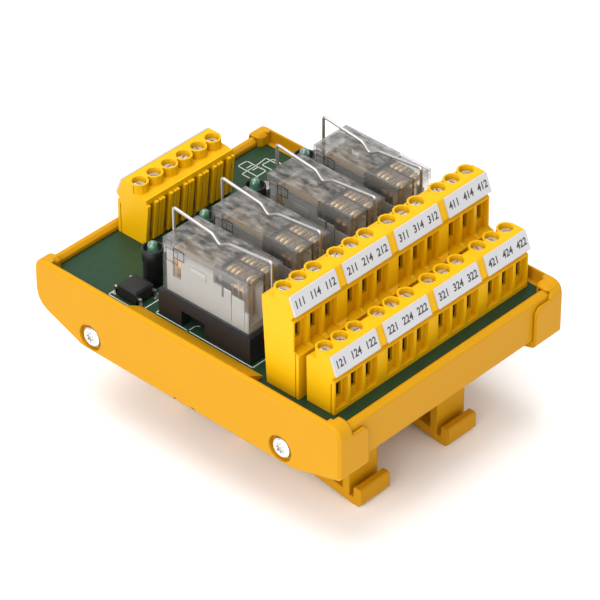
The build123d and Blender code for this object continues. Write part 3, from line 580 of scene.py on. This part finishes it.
class PieceShop:
    """Makes finished pieces out of bmeshes and hangs them on their bodies."""

    def __init__(self, rack: FinishRack, body: str = "module") -> None:
        """Keep the finishes and the body that new pieces ride on."""
        self.rack = rack
        self.body = body

    def deliver(
        self, form: Form, name: str, finish: str, smooth: bool = False
    ) -> bpy.types.Object:
        """Turn a bmesh into a dressed piece.

        Args:
            form: The shape, in metres in the module's frame.
            name: Name of the piece.
            finish: Name of its finish.
            smooth: Whether its faces are shaded smooth.

        Returns:
            The new object.
        """
        for face in form.faces:
            face.smooth = smooth
        mesh = bpy.data.meshes.new(name)
        form.to_mesh(mesh)
        form.free()
        thing = bpy.data.objects.new(name, mesh)
        bpy.context.scene.collection.objects.link(thing)
        self.rack.dress(thing, finish)
        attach(thing, self.body)
        LOG.info("piece %s made with %d faces", name, len(mesh.polygons))
        return thing

    @staticmethod
    def lathe(form: Form, profile: Sequence[Pair], centre: Point, steps: int) -> None:
        """Spin a profile of radius and height round a vertical axis.

        Args:
            form: The bmesh that takes the shape.
            profile: Radii and heights from the axis at the bottom to the axis at the top.
            centre: Foot of the axis.
            steps: Number of spin steps.
        """
        foot = Vector(centre)
        verts = [form.verts.new(foot + Vector((radius, 0.0, height))) for radius, height in profile]
        edges = [form.edges.new(pair) for pair in zip(verts, verts[1:])]
        bmesh.ops.spin(
            form,
            geom=verts + edges,
            cent=foot,
            axis=(0.0, 0.0, 1.0),
            angle=math.tau,
            steps=steps,
            use_merge=True,
        )
        bmesh.ops.remove_doubles(form, verts=form.verts, dist=1e-7)
        bmesh.ops.recalc_face_normals(form, faces=form.faces)

    @staticmethod
    def block(form: Form, spans: Sequence[Sequence[float]], shift: float = 0.0) -> None:
        """Add one block given by its limits.

        Args:
            form: The bmesh that takes the block.
            spans: Lower and upper limit in X, Y and Z, in millimetres.
            shift: Metres to move it by along X.
        """
        middle = Vector([(low + high) / 2 * MM for low, high in spans]) + Vector((shift, 0.0, 0.0))
        size = Matrix.Diagonal([(high - low) * MM for low, high in spans]).to_4x4()
        bmesh.ops.create_cube(form, size=1.0, matrix=Matrix.Translation(middle) @ size)

    @staticmethod
    def recessed_head(form: Form, seat: Matrix, head: "ScrewHead") -> None:
        """Build a screw head with a pointed recess, as rings bridged to one another.

        Args:
            form: The bmesh that takes the head.
            seat: Place of the head's underside, with Z out of the seat.
            head: Sizes of the head.
        """
        rings = []
        for radius, height, inward in head.rings():
            at = seat @ Matrix.Translation((0.0, 0.0, height * MM))
            ring = bmesh.ops.create_circle(
                form, radius=radius * MM, segments=head.segments, matrix=at
            )["verts"]
            for step, share in enumerate(inward):
                chosen = ring[step :: len(inward)]
                if share < 1.0:
                    even = (share, share, share)
                    bmesh.ops.scale(form, vec=even, space=at.inverted(), verts=chosen)
            inside = set(ring)
            rings.append([edge for edge in form.edges if inside.issuperset(edge.verts)])
        for lower, upper in zip(rings, rings[1:]):
            bmesh.ops.bridge_loops(form, edges=lower + upper)
        for end in (rings[0], rings[-1]):
            bmesh.ops.edgeloop_fill(form, edges=end)
        bmesh.ops.recalc_face_normals(form, faces=form.faces)

    def screw_heads(self, seats: Iterable[Matrix], head: "ScrewHead") -> Form:
        """Build one screw head on every seat.

        Args:
            seats: Places of the undersides.
            head: Sizes of the head.

        Returns:
            The heads as one bmesh.
        """
        form = bmesh.new()
        for seat in seats:
            self.recessed_head(form, seat, head)
        return form

    @staticmethod
    def pour(curve: bpy.types.Curve, form: Form, place: Matrix) -> None:
        """Add a curve or a word to a bmesh as a mesh, and remove the curve.

        Args:
            curve: The curve.
            form: The bmesh that takes it.
            place: Where it goes.
        """
        draft = bpy.data.objects.new(curve.name, curve)
        bpy.context.scene.collection.objects.link(draft)
        bpy.context.view_layer.update()
        ready = draft.evaluated_get(bpy.context.evaluated_depsgraph_get())
        mesh = bpy.data.meshes.new_from_object(ready)
        mesh.transform(place)
        form.from_mesh(mesh)
        bpy.data.objects.remove(draft)
        bpy.data.curves.remove(curve)
        bpy.data.meshes.remove(mesh)

    @staticmethod
    def stroke(form: Form, route: Sequence[Pair], width: float, z: float, depth: float) -> None:
        """Lay a flat line of print along a route of X and Y.

        Args:
            form: The bmesh that takes the line.
            route: Corners of the line in metres.
            width: Width of the line.
            z: Height of the line's face.
            depth: Thickness of the ink.
        """
        for start, end in zip(route, route[1:]):
            first, last = Vector((*start, z)), Vector((*end, z))
            along = last - first
            turn = Matrix.Rotation(math.atan2(along.y, along.x), 4, "Z")
            size = Matrix.Diagonal((along.length + width, width, depth, 1.0))
            place = Matrix.Translation((first + last) / 2) @ turn @ size
            bmesh.ops.create_cube(form, size=1.0, matrix=place)


@dataclass(frozen=True)
class ScrewHead:
    """Sizes in millimetres of a screw head with a pointed recess."""

    radius: float
    height: float
    recess: float
    depth: float
    points: tuple[float, ...]
    segments: int = 16

    def rings(self) -> list[tuple[float, float, tuple[float, ...]]]:
        """Rings from the underside over the rim to the recess floor.

        Returns:
            Radius, height and the share of the radius that each vertex in turn keeps.
        """
        whole = (1.0,)
        return [
            (self.radius, 0.0, whole),
            (self.radius, self.height * 0.35, whole),
            (self.radius * 0.93, self.height * 0.75, whole),
            (self.radius * 0.8, self.height * 0.96, whole),
            (self.recess, self.height, self.points),
            (self.recess * 0.86, self.height - self.depth * 0.7, self.points),
            (self.recess * 0.4, self.height - self.depth, self.points),
        ]


@dataclass
class Carrier:
    """Channel, end plates, their screws and the rail feet."""

    head: ScrewHead = ScrewHead(2.85, 1.2, 1.75, 0.8, (1.0, 0.5))
    seat_x: float = 38.45
    screw_y: float = 31.4
    screw_z: float = 24.9
    plastic_nodes: tuple[str, ...] = (
        "profile_channel",
        "end_plate_left",
        "end_plate_right",
        "rail_foot_1",
        "rail_foot_2",
    )

    def build(self, nodes: Nodes, shop: PieceShop) -> None:
        """Dress the carrier.

        Args:
            nodes: CAD nodes by name.
            shop: Maker of pieces and finishes.
        """
        for name in self.plastic_nodes:
            shop.rack.dress(nodes[name], "carrier_orange")
        seats = []
        for end in (-1, 1):
            turn = Matrix.Rotation(math.radians(90.0 * end), 4, "Y")
            for side in (-1, 1):
                spot = Vector((end * self.seat_x, side * self.screw_y, self.screw_z)) * MM
                seats.append(Matrix.Translation(spot) @ turn)
        heads = shop.screw_heads(seats, self.head)
        screws = shop.deliver(heads, "plate_screw_heads", "screw_plated")
        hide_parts("end_plate_screws")


@dataclass
class CircuitBoard:
    """Board with its white print."""

    top: float = 36.4 * MM
    ink: float = 0.03 * MM
    line: float = 0.28 * MM
    relay_xs: tuple[float, ...] = (-25.635, -9.125, 9.925, 26.435)
    relay_half: Pair = (6.85, 15.9)
    rectifier: Pair = (-30.9, 24.2)
    rectifier_half: Pair = (4.1, 5.2)
    dot: Pair = (-32.5, 5.2)
    dot_half: Pair = (0.25, 0.25)
    dot_tail: Line = ((0.0, 0.0), (2.6, 0.0), (3.4, -1.2))
    diagram: tuple[Line, ...] = (
        ((25.2, 44.0), (28.3, 43.8), (28.3, 38.6)),
        ((25.2, 44.0), (25.1, 37.0)),
        ((23.3, 40.8), (28.3, 40.7), (32.5, 41.2), (32.5, 38.1)),
        ((23.3, 40.8), (23.3, 38.3)),
        ((26.5, 40.0), (29.6, 39.9), (29.7, 36.5)),
        ((28.3, 40.0), (33.4, 39.6), (33.2, 36.7)),
        ((26.1, 41.7), (27.9, 41.7)),
        ((24.8, 37.3), (28.4, 37.3), (28.5, 39.1)),
    )

    def build(self, nodes: Nodes, shop: PieceShop) -> None:
        """Dress the board and lay its print.

        Args:
            nodes: CAD nodes by name.
            shop: Maker of pieces and finishes.
        """
        shop.rack.dress(nodes["circuit_board"], "board_green")
        form = bmesh.new()
        for route in self.routes():
            metres = [(x * MM, y * MM) for x, y in route]
            shop.stroke(form, metres, self.line, self.top + self.ink / 2, self.ink)
        shop.deliver(form, "board_print", "ink_white")

    def routes(self) -> list[Line]:
        """Lines of the print in millimetres: part outlines and a plain contact diagram.

        Returns:
            Corners of each line.
        """
        lines = [self.frame_line((x, 0.0), self.relay_half) for x in self.relay_xs]
        x, y = self.rectifier
        for index in range(4):
            lines.append(self.frame_line((x + index * GROUP_PITCH, y), self.rectifier_half))
        lines.extend(self.diagram)
        x, y = self.dot
        lines.append(tuple((x + across, y + up) for across, up in self.dot_tail))
        lines.append(self.frame_line(self.dot, self.dot_half))
        return lines

    @staticmethod
    def frame_line(middle: Pair, half: Pair) -> Line:
        """Closed rectangle about a middle."""
        signs = ((-1, -1), (1, -1), (1, 1), (-1, 1), (-1, -1))
        return tuple((middle[0] + a * half[0], middle[1] + b * half[1]) for a, b in signs)


@dataclass
class RelayBank:
    """Four relays in their sockets, each with its inner ribs and under a wire clip."""

    count: int = 4
    wire: float = 0.42 * MM
    corner: float = 1.3
    corner_share: float = 0.45
    finishes: tuple[tuple[str, str], ...] = (
        ("relay_socket", "socket_charcoal"),
        ("relay_base", "relay_ivory"),
        ("relay_cover", "relay_clear"),
        ("relay_coil", "coil_amber"),
        ("relay_armature", "armature_iron"),
        ("relay_comb", "comb_amber"),
        ("relay_springs", "contact_bronze"),
        ("relay_contacts", "contact_bronze"),
    )
    # Dark lines of painted shade along the cover's lid edges and front, where the clear cover's
    # edges look dark.
    seams: tuple[Line, ...] = (
        ((-5.2, 5.2), (-4.8, -4.45), (58.5, 58.85)),
        ((-0.2, 0.2), (-13.2, -4.8), (58.5, 58.85)),
        ((-0.2, 0.2), (-13.5, -13.2), (51.5, 58.85)),
        ((-5.3, -4.9), (-13.2, -4.6), (58.4, 58.8)),
    )
    # Dark frame of painted shade round the edges of the side latch.
    latch: tuple[Line, ...] = (
        ((6.6, 10.2), (57.7, 57.95)),
        ((6.6, 10.2), (55.2, 55.4)),
        ((6.6, 6.8), (55.2, 57.95)),
        ((9.95, 10.2), (55.2, 57.95)),
    )
    latch_x: Pair = (6.19, 6.22)
    guards: tuple[Line, ...] = (
        ((-7.8, -5.5), (45.0, 53.8)),
        ((-12.1, -8.1), (45.0, 53.0)),
        ((0.4, 5.2), (52.0, 54.4)),
    )
    guard_x: Pair = (5.32, 5.48)
    crown: Point = (1.75, 0.6, 0.75)
    crown_x: float = 2.25
    driven_crowns: tuple[float, ...] = (-7.8, -6.4, -5.0)
    fixed_crowns: tuple[float, ...] = (-11.3, -12.6)
    crown_z: float = 57.55
    route: Line = (
        (-13.8, 40.6), (-15.9, 40.6), (-15.9, 63.2), (-2.2, 61.7), (0.75, 59.95),
        (3.0, 62.05), (15.9, 63.6), (15.9, 40.6), (13.8, 40.6),
    )

    def build(self, nodes: Nodes, shop: PieceShop) -> None:
        """Dress the relays, bend the clips and lay what shows under the covers.

        Args:
            nodes: CAD nodes by name.
            shop: Maker of pieces and finishes.
        """
        for number in range(1, self.count + 1):
            for stem, finish in self.finishes:
                shop.rack.dress(nodes[f"{stem}_{number}"], finish)
            low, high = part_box(f"retaining_clip_{number}")
            middle = (low[0] + high[0]) / 2
            clip = self.bend_clip(middle, f"clip_wire_{number}", shop)
            # Painted shade: dark lines along the cover's edges and round the latch.
            seams = self.lay_sides(middle, self.latch_x, self.latch)
            for spans in self.seams:
                shop.block(seams, spans, middle)
            shop.deliver(seams, f"relay_edge_shade_{number}", "edge_shade_dark")
            guards = self.lay_sides(middle, self.guard_x, self.guards)
            shop.deliver(guards, f"contact_guards_{number}", "relay_ivory")
            fixed = self.lay_crowns(middle, self.fixed_crowns)
            shop.deliver(fixed, f"fixed_crowns_{number}", "contact_bronze", smooth=True)
            crowns = self.lay_crowns(middle, self.driven_crowns)
            driven = PieceShop(shop.rack, f"comb_{number}")
            driven.deliver(
                crowns, f"driven_crowns_{number}", "contact_bronze", smooth=True
            )
            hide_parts(f"retaining_clip_{number}")

    @staticmethod
    def lay_sides(x: float, reach: Pair, spans: Sequence[Line]) -> Form:
        """Lay the same blocks on both sides of one relay.

        Args:
            x: Middle of the relay in metres.
            reach: Near and far limit of a block from the middle.
            spans: Limits in Y and Z of every block.

        Returns:
            The blocks as one bmesh.
        """
        form = bmesh.new()
        for side in (-1, 1):
            across = sorted(side * limit for limit in reach)
            for y_span, z_span in spans:
                PieceShop.block(form, (across, y_span, z_span), x)
        return form

    def lay_crowns(self, x: float, ys: Sequence[float]) -> Form:
        """Lay rows of rounded contact crowns that glint under the front of the cover.

        Args:
            x: Middle of the relay in metres.
            ys: Places of the rows in Y.

        Returns:
            The crowns as one bmesh.
        """
        form = bmesh.new()
        size = Matrix.Diagonal([reach * MM for reach in self.crown]).to_4x4()
        for side in (-1, 1):
            for y in ys:
                spot = Vector((side * self.crown_x, y, self.crown_z)) * MM
                place = Matrix.Translation(spot + Vector((x, 0.0, 0.0))) @ size
                bmesh.ops.create_uvsphere(
                    form, u_segments=14, v_segments=8, radius=1.0, matrix=place
                )
        return form

    def rounded(self) -> list[Pair]:
        """Route with each corner held by a point on either side.

        Returns:
            Points in Y and Z in millimetres.
        """
        points = [self.route[0]]
        for before, here, after in zip(self.route, self.route[1:], self.route[2:]):
            near = []
            for other in (before, after):
                away = Vector(other) - Vector(here)
                share = min(self.corner_share, self.corner / away.length)
                near.append(tuple(Vector(here) + away * share))
            points += [near[0], here, near[1]]
        points.append(self.route[-1])
        return points

    def bend_clip(self, x: float, name: str, shop: PieceShop) -> bpy.types.Object:
        """Make one clip of round wire.

        Args:
            x: Place of the clip's plane.
            name: Name of the piece.
            shop: Maker of pieces and finishes.

        Returns:
            The wire as an object.
        """
        points = self.rounded()
        curve = bpy.data.curves.new(name + "_line", "CURVE")
        curve.dimensions = "3D"
        curve.bevel_depth = self.wire
        curve.bevel_resolution = 3
        curve.use_fill_caps = True
        spline = curve.splines.new("NURBS")
        spline.points.add(len(points) - 1)
        for point, (y, z) in zip(spline.points, points):
            point.co = (x, y * MM, z * MM, 1.0)
        spline.order_u = 3
        spline.use_endpoint_u = True
        spline.resolution_u = 5
        form = bmesh.new()
        shop.pour(curve, form, Matrix())
        bmesh.ops.remove_doubles(form, verts=form.verts, dist=1e-6)
        bmesh.ops.recalc_face_normals(form, faces=form.faces)
        return shop.deliver(form, name, "wire_drawn", smooth=True)


@dataclass(frozen=True)
class TerminalRow:
    """Row of three-pole terminal blocks with a number strip on each block's slope."""

    stem: str
    blocks: int
    step: float
    screw: Point
    contact: str
    low: Pair
    high: Pair
    facing: Facing

    def poles(self) -> Iterator[tuple[int, int, float]]:
        """Go through the poles of the row.

        Yields:
            Block, pole in the block and place in X, in millimetres.
        """
        for block in range(self.blocks):
            for pole in range(POLES):
                yield block, pole, self.screw[0] + block * self.step + pole * PITCH

    def word(self, block: int, pole: int) -> str:
        """Number of one pole: relay, contact and side, or a plain count.

        Args:
            block: Block, counted from zero.
            pole: Pole in the block, counted from zero.

        Returns:
            The number as text.
        """
        if self.contact:
            return f"{block + 1}{self.contact}{'142'[pole]}"
        return str(block * POLES + pole + 1)

    def seat(self, x: float, lift: float) -> Matrix:
        """Place on the slope, with Y up the slope and Z out of it.

        Args:
            x: Place along the row in millimetres.
            lift: Height over the slope in millimetres.

        Returns:
            The place in metres.
        """
        low, high = Vector((0.0, *self.low)), Vector((0.0, *self.high))
        up = (high - low).normalized()
        right = Vector((-1.0, 0.0, 0.0)) * self.facing.value
        out = right.cross(up)
        seat = Matrix((right, up, out)).transposed().to_4x4()
        seat.translation = ((low + high) / 2 + out * lift + Vector((x, 0.0, 0.0))) * MM
        return seat


@dataclass
class TerminalRows:
    """Terminal housings with their screws, clamps and number strips."""

    rows: tuple[TerminalRow, ...] = (
        TerminalRow(
            "lower_terminal", 4, GROUP_PITCH, (-30.25, -36.95, 50.0), "2",
            (-42.35, 47.7), (-40.55, 52.3), Facing.FRONT,
        ),
        TerminalRow(
            "upper_terminal", 4, GROUP_PITCH, (-31.5, -25.15, 61.9), "1",
            (-30.75, 59.6), (-28.95, 64.2), Facing.FRONT,
        ),
        TerminalRow(
            "input_terminal", 2, POLES * PITCH, (-12.25, 41.05, 50.0), "",
            (46.45, 47.7), (44.65, 52.3), Facing.REAR,
        ),
    )
    digit_size: float = 2.76
    digit_slimness: float = 0.86
    digit_weight: float = 0.07
    ink: float = 0.03
    strip_lift: float = 0.52
    # Sizes of the painted shade lines along the joints between marker tags.
    seam_sink: float = 0.02
    seam_width: float = 0.09
    seam_share: float = 0.96
    head: ScrewHead = ScrewHead(
        1.78, 1.5, 1.5, 0.8, (1.0, 0.42, 0.13, 0.13, 0.5, 0.13, 0.13, 0.42)
    )
    first_turn: float = 12.0
    next_turn: float = 37.0
    back_middle: Pair = (36.75, 43.0)
    back_slope: float = 6.3
    back_ribs: Line = ((-2.25, 1.0), (0.55, 1.1), (1.85, 0.7))
    back_rib: Pair = (1.5, 11.4)
    back_ridge: Line = ((-14.7, 15.6), (36.3, 37.0), (48.9, 49.9))
    back_pin: Line = ((-1.05, -0.65), (36.75, 37.3), (38.6, 43.4))

    def build(self, nodes: Nodes, shop: PieceShop) -> None:
        """Dress the terminals and print their numbers.

        Args:
            nodes: CAD nodes by name.
            shop: Maker of pieces and finishes.
        """
        seats = []
        # seams gathers the painted shade lines along the joints between tags.
        numbers, seams = bmesh.new(), bmesh.new()
        for row in self.rows:
            for number in range(1, row.blocks + 1):
                shop.rack.dress(nodes[f"{row.stem}_{number}"], "terminal_yellow")
            for block, pole, x in row.poles():
                angle = self.first_turn + self.next_turn * ((block * POLES + pole) % 5)
                turn = Matrix.Rotation(math.radians(angle), 4, "Z")
                spot = Vector((x, *row.screw[1:])) * MM
                seats.append(Matrix.Translation(spot) @ turn)
                self.print_word(numbers, row.word(block, pole), row.seat(x, self.strip_lift))
                if pole < POLES - 1:
                    self.score(seams, row, x + PITCH / 2)
        form = shop.screw_heads(seats, self.head)
        heads = shop.deliver(form, "clamp_screw_heads", "screw_plated")
        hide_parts("terminal_screws")
        shop.rack.dress(nodes["terminal_clamps"], "clamp_plated")
        shop.rack.dress(nodes["marker_strips"], "marker_white")
        shop.deliver(numbers, "marker_numbers", "ink_black")
        # Painted shade along the joints between the tags of each strip.
        shop.deliver(seams, "marker_seam_shade", "seam_shade_grey")
        self.rib_input_backs(shop)

    def score(self, form: Form, row: TerminalRow, x: float) -> None:
        """Add the fine line of painted shade along the joint between two tags of a strip.

        Args:
            form: The bmesh that takes the line.
            row: Row of the strip.
            x: Place of the line.
        """
        length = math.dist(row.low, row.high) * self.seam_share
        size = Matrix.Diagonal((self.seam_width * MM, length * MM, self.ink * MM, 1.0))
        place = row.seat(x, self.strip_lift - self.seam_sink) @ size
        bmesh.ops.create_cube(form, size=1.0, matrix=place)

    def rib_input_backs(self, shop: PieceShop) -> None:
        """Add the ridge, the ribs and the pins on the back of the input blocks.

        Args:
            shop: Maker of pieces and finishes.
        """
        ribs, pins = bmesh.new(), bmesh.new()
        shop.block(ribs, self.back_ridge)
        depth, height = self.back_rib
        y, z = self.back_middle
        tilt = Matrix.Rotation(math.radians(self.back_slope), 4, "X")
        for _, _, x in self.rows[-1].poles():
            for offset, width in self.back_ribs:
                place = Matrix.Translation(Vector((x + offset, y, z)) * MM) @ tilt
                size = Matrix.Diagonal((width * MM, depth * MM, height * MM, 1.0))
                bmesh.ops.create_cube(ribs, size=1.0, matrix=place @ size)
            shop.block(pins, self.back_pin, x * MM)
        shop.deliver(ribs, "input_back_ribs", "terminal_yellow")
        shop.deliver(pins, "input_back_pins", "clamp_plated")

    def print_word(self, form: Form, word: str, seat: Matrix) -> None:
        """Add one number to the print.

        Args:
            form: The bmesh that takes the digits.
            word: The number.
            seat: Place of its middle on the strip.
        """
        curve = bpy.data.curves.new("number", "FONT")
        curve.body = word
        curve.size = self.digit_size * MM
        curve.align_x = "CENTER"
        curve.align_y = "CENTER"
        curve.extrude = self.ink * MM / 2
        curve.offset = self.digit_weight * MM
        curve.resolution_u = 2
        PieceShop.pour(curve, form, seat @ Matrix.Diagonal((self.digit_slimness, 1.0, 1.0, 1.0)))


@dataclass
class IndicatorRow:
    """Lamps on spacers, capacitors and bridge rectifiers behind the relays."""

    count: int = 4
    step: float = GROUP_PITCH * MM
    lamp: Point = (-24.1 * MM, 24.9 * MM, 45.2 * MM)
    lamp_profile: Line = (
        (0.0, 0.0), (1.42, 0.0), (1.42, 0.5), (1.3, 0.6), (1.3, 1.9),
        (1.22, 2.4), (0.98, 2.9), (0.6, 3.25), (0.22, 3.38), (0.0, 3.4),
    )
    holder: Point = (-24.1 * MM, 24.9 * MM, 36.4 * MM)
    holder_profile: Line = (
        (0.0, 0.0), (2.5, 0.0), (2.5, 6.6), (2.75, 6.9), (2.75, 10.25),
        (2.6, 10.4), (2.3, 10.4), (2.2, 10.25), (2.2, 8.8), (0.0, 8.8),
    )
    can: Point = (-18.8 * MM, 26.3 * MM, 36.4 * MM)
    can_profile: Line = (
        (0.0, 0.0), (2.15, 0.0), (2.35, 0.25), (2.38, 0.6), (2.2, 0.85),
        (2.2, 1.05), (2.38, 1.35), (2.4, 1.8), (2.4, 6.5), (2.25, 6.9),
        (1.95, 7.0), (1.8, 6.88), (0.0, 6.88),
    )
    top_profile: Line = ((0.0, 6.8), (1.85, 6.8), (1.85, 6.92), (1.6, 6.97), (0.0, 6.97))
    turns: int = 32
    rectifier: Pair = (-30.9, 24.2)
    lead_offset: float = 2.54
    lead_half: float = 0.33
    lead_wall: float = 0.45
    lead_reach: Pair = (3.15, 4.45)
    lead_top: Pair = (38.25, 38.74)
    lead_leg: Pair = (36.41, 38.7)
    pad_half: float = 0.7
    pad_rim: float = 0.4
    pad: Pair = (36.41, 36.55)

    def build(self, nodes: Nodes, shop: PieceShop) -> None:
        """Dress the row and turn its lamps and capacitors.

        Args:
            nodes: CAD nodes by name.
            shop: Maker of pieces and finishes.
        """
        holders = self.turn_row(self.holder_profile, self.holder)
        holder_piece = shop.deliver(holders, "lamp_holders", "spacer_black", smooth=True)
        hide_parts("led_spacers")
        shop.rack.dress(nodes["bridge_rectifiers"], "rectifier_black")
        leads = self.bend_leads()
        shop.deliver(leads, "rectifier_leads", "lead_tinned")
        lamps = self.turn_row(self.lamp_profile, self.lamp)
        lamp_piece = shop.deliver(lamps, "indicator_lenses", "lamp_green", smooth=True)
        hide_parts("led_indicators")
        cans = self.turn_row(self.can_profile, self.can)
        can_piece = shop.deliver(
            cans, "capacitor_cans", "capacitor_sleeve", smooth=True
        )
        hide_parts("capacitors")
        tops = self.turn_row(self.top_profile, self.can)
        shop.deliver(tops, "capacitor_tops", "lead_tinned", smooth=True)

    def bend_leads(self) -> Form:
        """Bend the leads of every rectifier, each down to a pad on the board.

        Returns:
            The leads as one bmesh.
        """
        form = bmesh.new()
        first_x, y = self.rectifier
        for index in range(self.count):
            for across in (-1, 1):
                x = first_x + across * self.lead_offset
                wide = (x - self.lead_half, x + self.lead_half)
                pad_wide = (x - self.pad_half, x + self.pad_half)
                for side in (-1, 1):
                    near, far = sorted(y + side * reach for reach in self.lead_reach)
                    leg = (far - self.lead_wall, far) if side > 0 else (near, near + self.lead_wall)
                    pad_deep = (leg[0] - self.pad_rim, leg[1] + self.pad_rim)
                    for spans in (
                        (wide, (near, far), self.lead_top),
                        (wide, leg, self.lead_leg),
                        (pad_wide, pad_deep, self.pad),
                    ):
                        PieceShop.block(form, spans, index * self.step)
        return form

    def turn_row(self, profile: Line, first: Point) -> Form:
        """Lathe the same profile at every place of the row.

        Args:
            profile: Radii and heights in millimetres.
            first: Foot of the first piece in metres.

        Returns:
            The row as one bmesh.
        """
        metres = [(radius * MM, height * MM) for radius, height in profile]
        form = bmesh.new()
        for index in range(self.count):
            foot = (first[0] + index * self.step, first[1], first[2])
            PieceShop.lathe(form, metres, foot, self.turns)
        return form


@dataclass
class Studio:
    """Camera, floor, backdrop light and lamps."""

    eye: Point = (-0.55471, -0.51961, 0.59523)
    azimuth: float = -46.9137
    elevation: float = 36.6156
    roll: float = -0.1747
    lens: float = 234.785
    lamps: tuple[tuple[str, Point, float, float], ...] = (
        ("key", (-1.3, -0.25, 0.75), 1.2, 17.5),
        ("overhead", (-0.1, 0.3, 1.5), 1.4, 22.0),
        ("fill", (0.5, -1.3, 0.7), 1.2, 2.5),
    )
    aim: Point = (0.0, 0.0, 0.03)
    sky_strength: float = 0.88
    backdrop_strength: float = 1.0
    floor_size: float = 6.0
    floor_tones: tuple[Colour, Colour] = ((0.93, 0.93, 0.93), (0.91, 0.91, 0.91))

    def build(self) -> None:
        """Set the camera, the floor and the lights."""
        scene = bpy.context.scene
        scene.view_settings.view_transform = "Standard"
        camera = bpy.data.objects.new("camera", bpy.data.cameras.new("camera"))
        camera.data.lens = self.lens
        camera.data.sensor_width = 36.0
        camera.data.clip_start = 0.01
        camera.data.clip_end = 50.0
        turn = (
            Matrix.Rotation(math.radians(self.azimuth), 4, "Z")
            @ Matrix.Rotation(math.radians(90.0 - self.elevation), 4, "X")
            @ Matrix.Rotation(math.radians(self.roll), 4, "Z")
        )
        camera.matrix_world = Matrix.Translation(self.eye) @ turn
        scene.collection.objects.link(camera)
        scene.camera = camera
        self.lay_floor()
        self.light()

    def lay_floor(self) -> None:
        """Lay a plain pale floor that keeps the module's shadow."""
        form = bmesh.new()
        bmesh.ops.create_grid(form, x_segments=1, y_segments=1, size=self.floor_size)
        mesh = bpy.data.meshes.new("floor")
        form.to_mesh(mesh)
        form.free()
        floor = bpy.data.objects.new("floor", mesh)
        bpy.context.scene.collection.objects.link(floor)
        tree = ShaderTree("floor_paper")
        tone = tree.mix(tree.noise(40.0) * 0.3, *self.floor_tones)
        mesh.materials.append(tree.finish({"Base Color": tone, "Roughness": 0.9}))

    def light(self) -> None:
        """Hang the lamps and set the sky."""
        for name, place, size, power in self.lamps:
            self.lamp(name, place, size, power)
        world = bpy.data.worlds.new("sky")
        bpy.context.scene.world = world
        tree = ShaderTree("sky", world)
        path = tree.make("ShaderNodeLightPath", {}, {})
        rays = {0: tree.socket(path, "Is Camera Ray"), 1: tree.socket(path, "Is Glossy Ray")}
        seen = tree.socket(tree.make("ShaderNodeMath", {"operation": "MAXIMUM"}, rays))
        span = {"Value": seen, "To Min": self.sky_strength, "To Max": self.backdrop_strength}
        level = tree.socket(tree.make("ShaderNodeMapRange", {}, span))
        sky = tree.socket(tree.make("ShaderNodeBackground", {}, {"Strength": level}))
        tree.make("ShaderNodeOutputWorld", {}, {"Surface": sky})

    def lamp(self, name: str, place: Point, size: float, power: float) -> None:
        """Hang one square lamp that looks at the module.

        Args:
            name: Name of the lamp.
            place: Where it hangs.
            size: Length of its side.
            power: Power in watts.
        """
        data = bpy.data.lights.new(name, "AREA")
        data.size = size
        data.energy = power
        lamp = bpy.data.objects.new(name, data)
        turn = (Vector(self.aim) - Vector(place)).to_track_quat("-Z", "Y").to_matrix().to_4x4()
        lamp.matrix_world = Matrix.Translation(place) @ turn
        bpy.context.scene.collection.objects.link(lamp)


def main() -> None:
    """Build the scene."""
    logging.basicConfig(level=logging.INFO, format="%(message)s")
    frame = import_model()
    nodes = frame["nodes"]
    rack = FinishRack()
    rack.stock()
    shop = PieceShop(rack)
    Studio().build()
    for assembly in (Carrier(), CircuitBoard(), RelayBank(), TerminalRows(), IndicatorRow()):
        assembly.build(nodes, shop)
        LOG.info("%s dressed", type(assembly).__name__)
    bpy.context.view_layer.update()


if __name__ == "__main__":
    main()
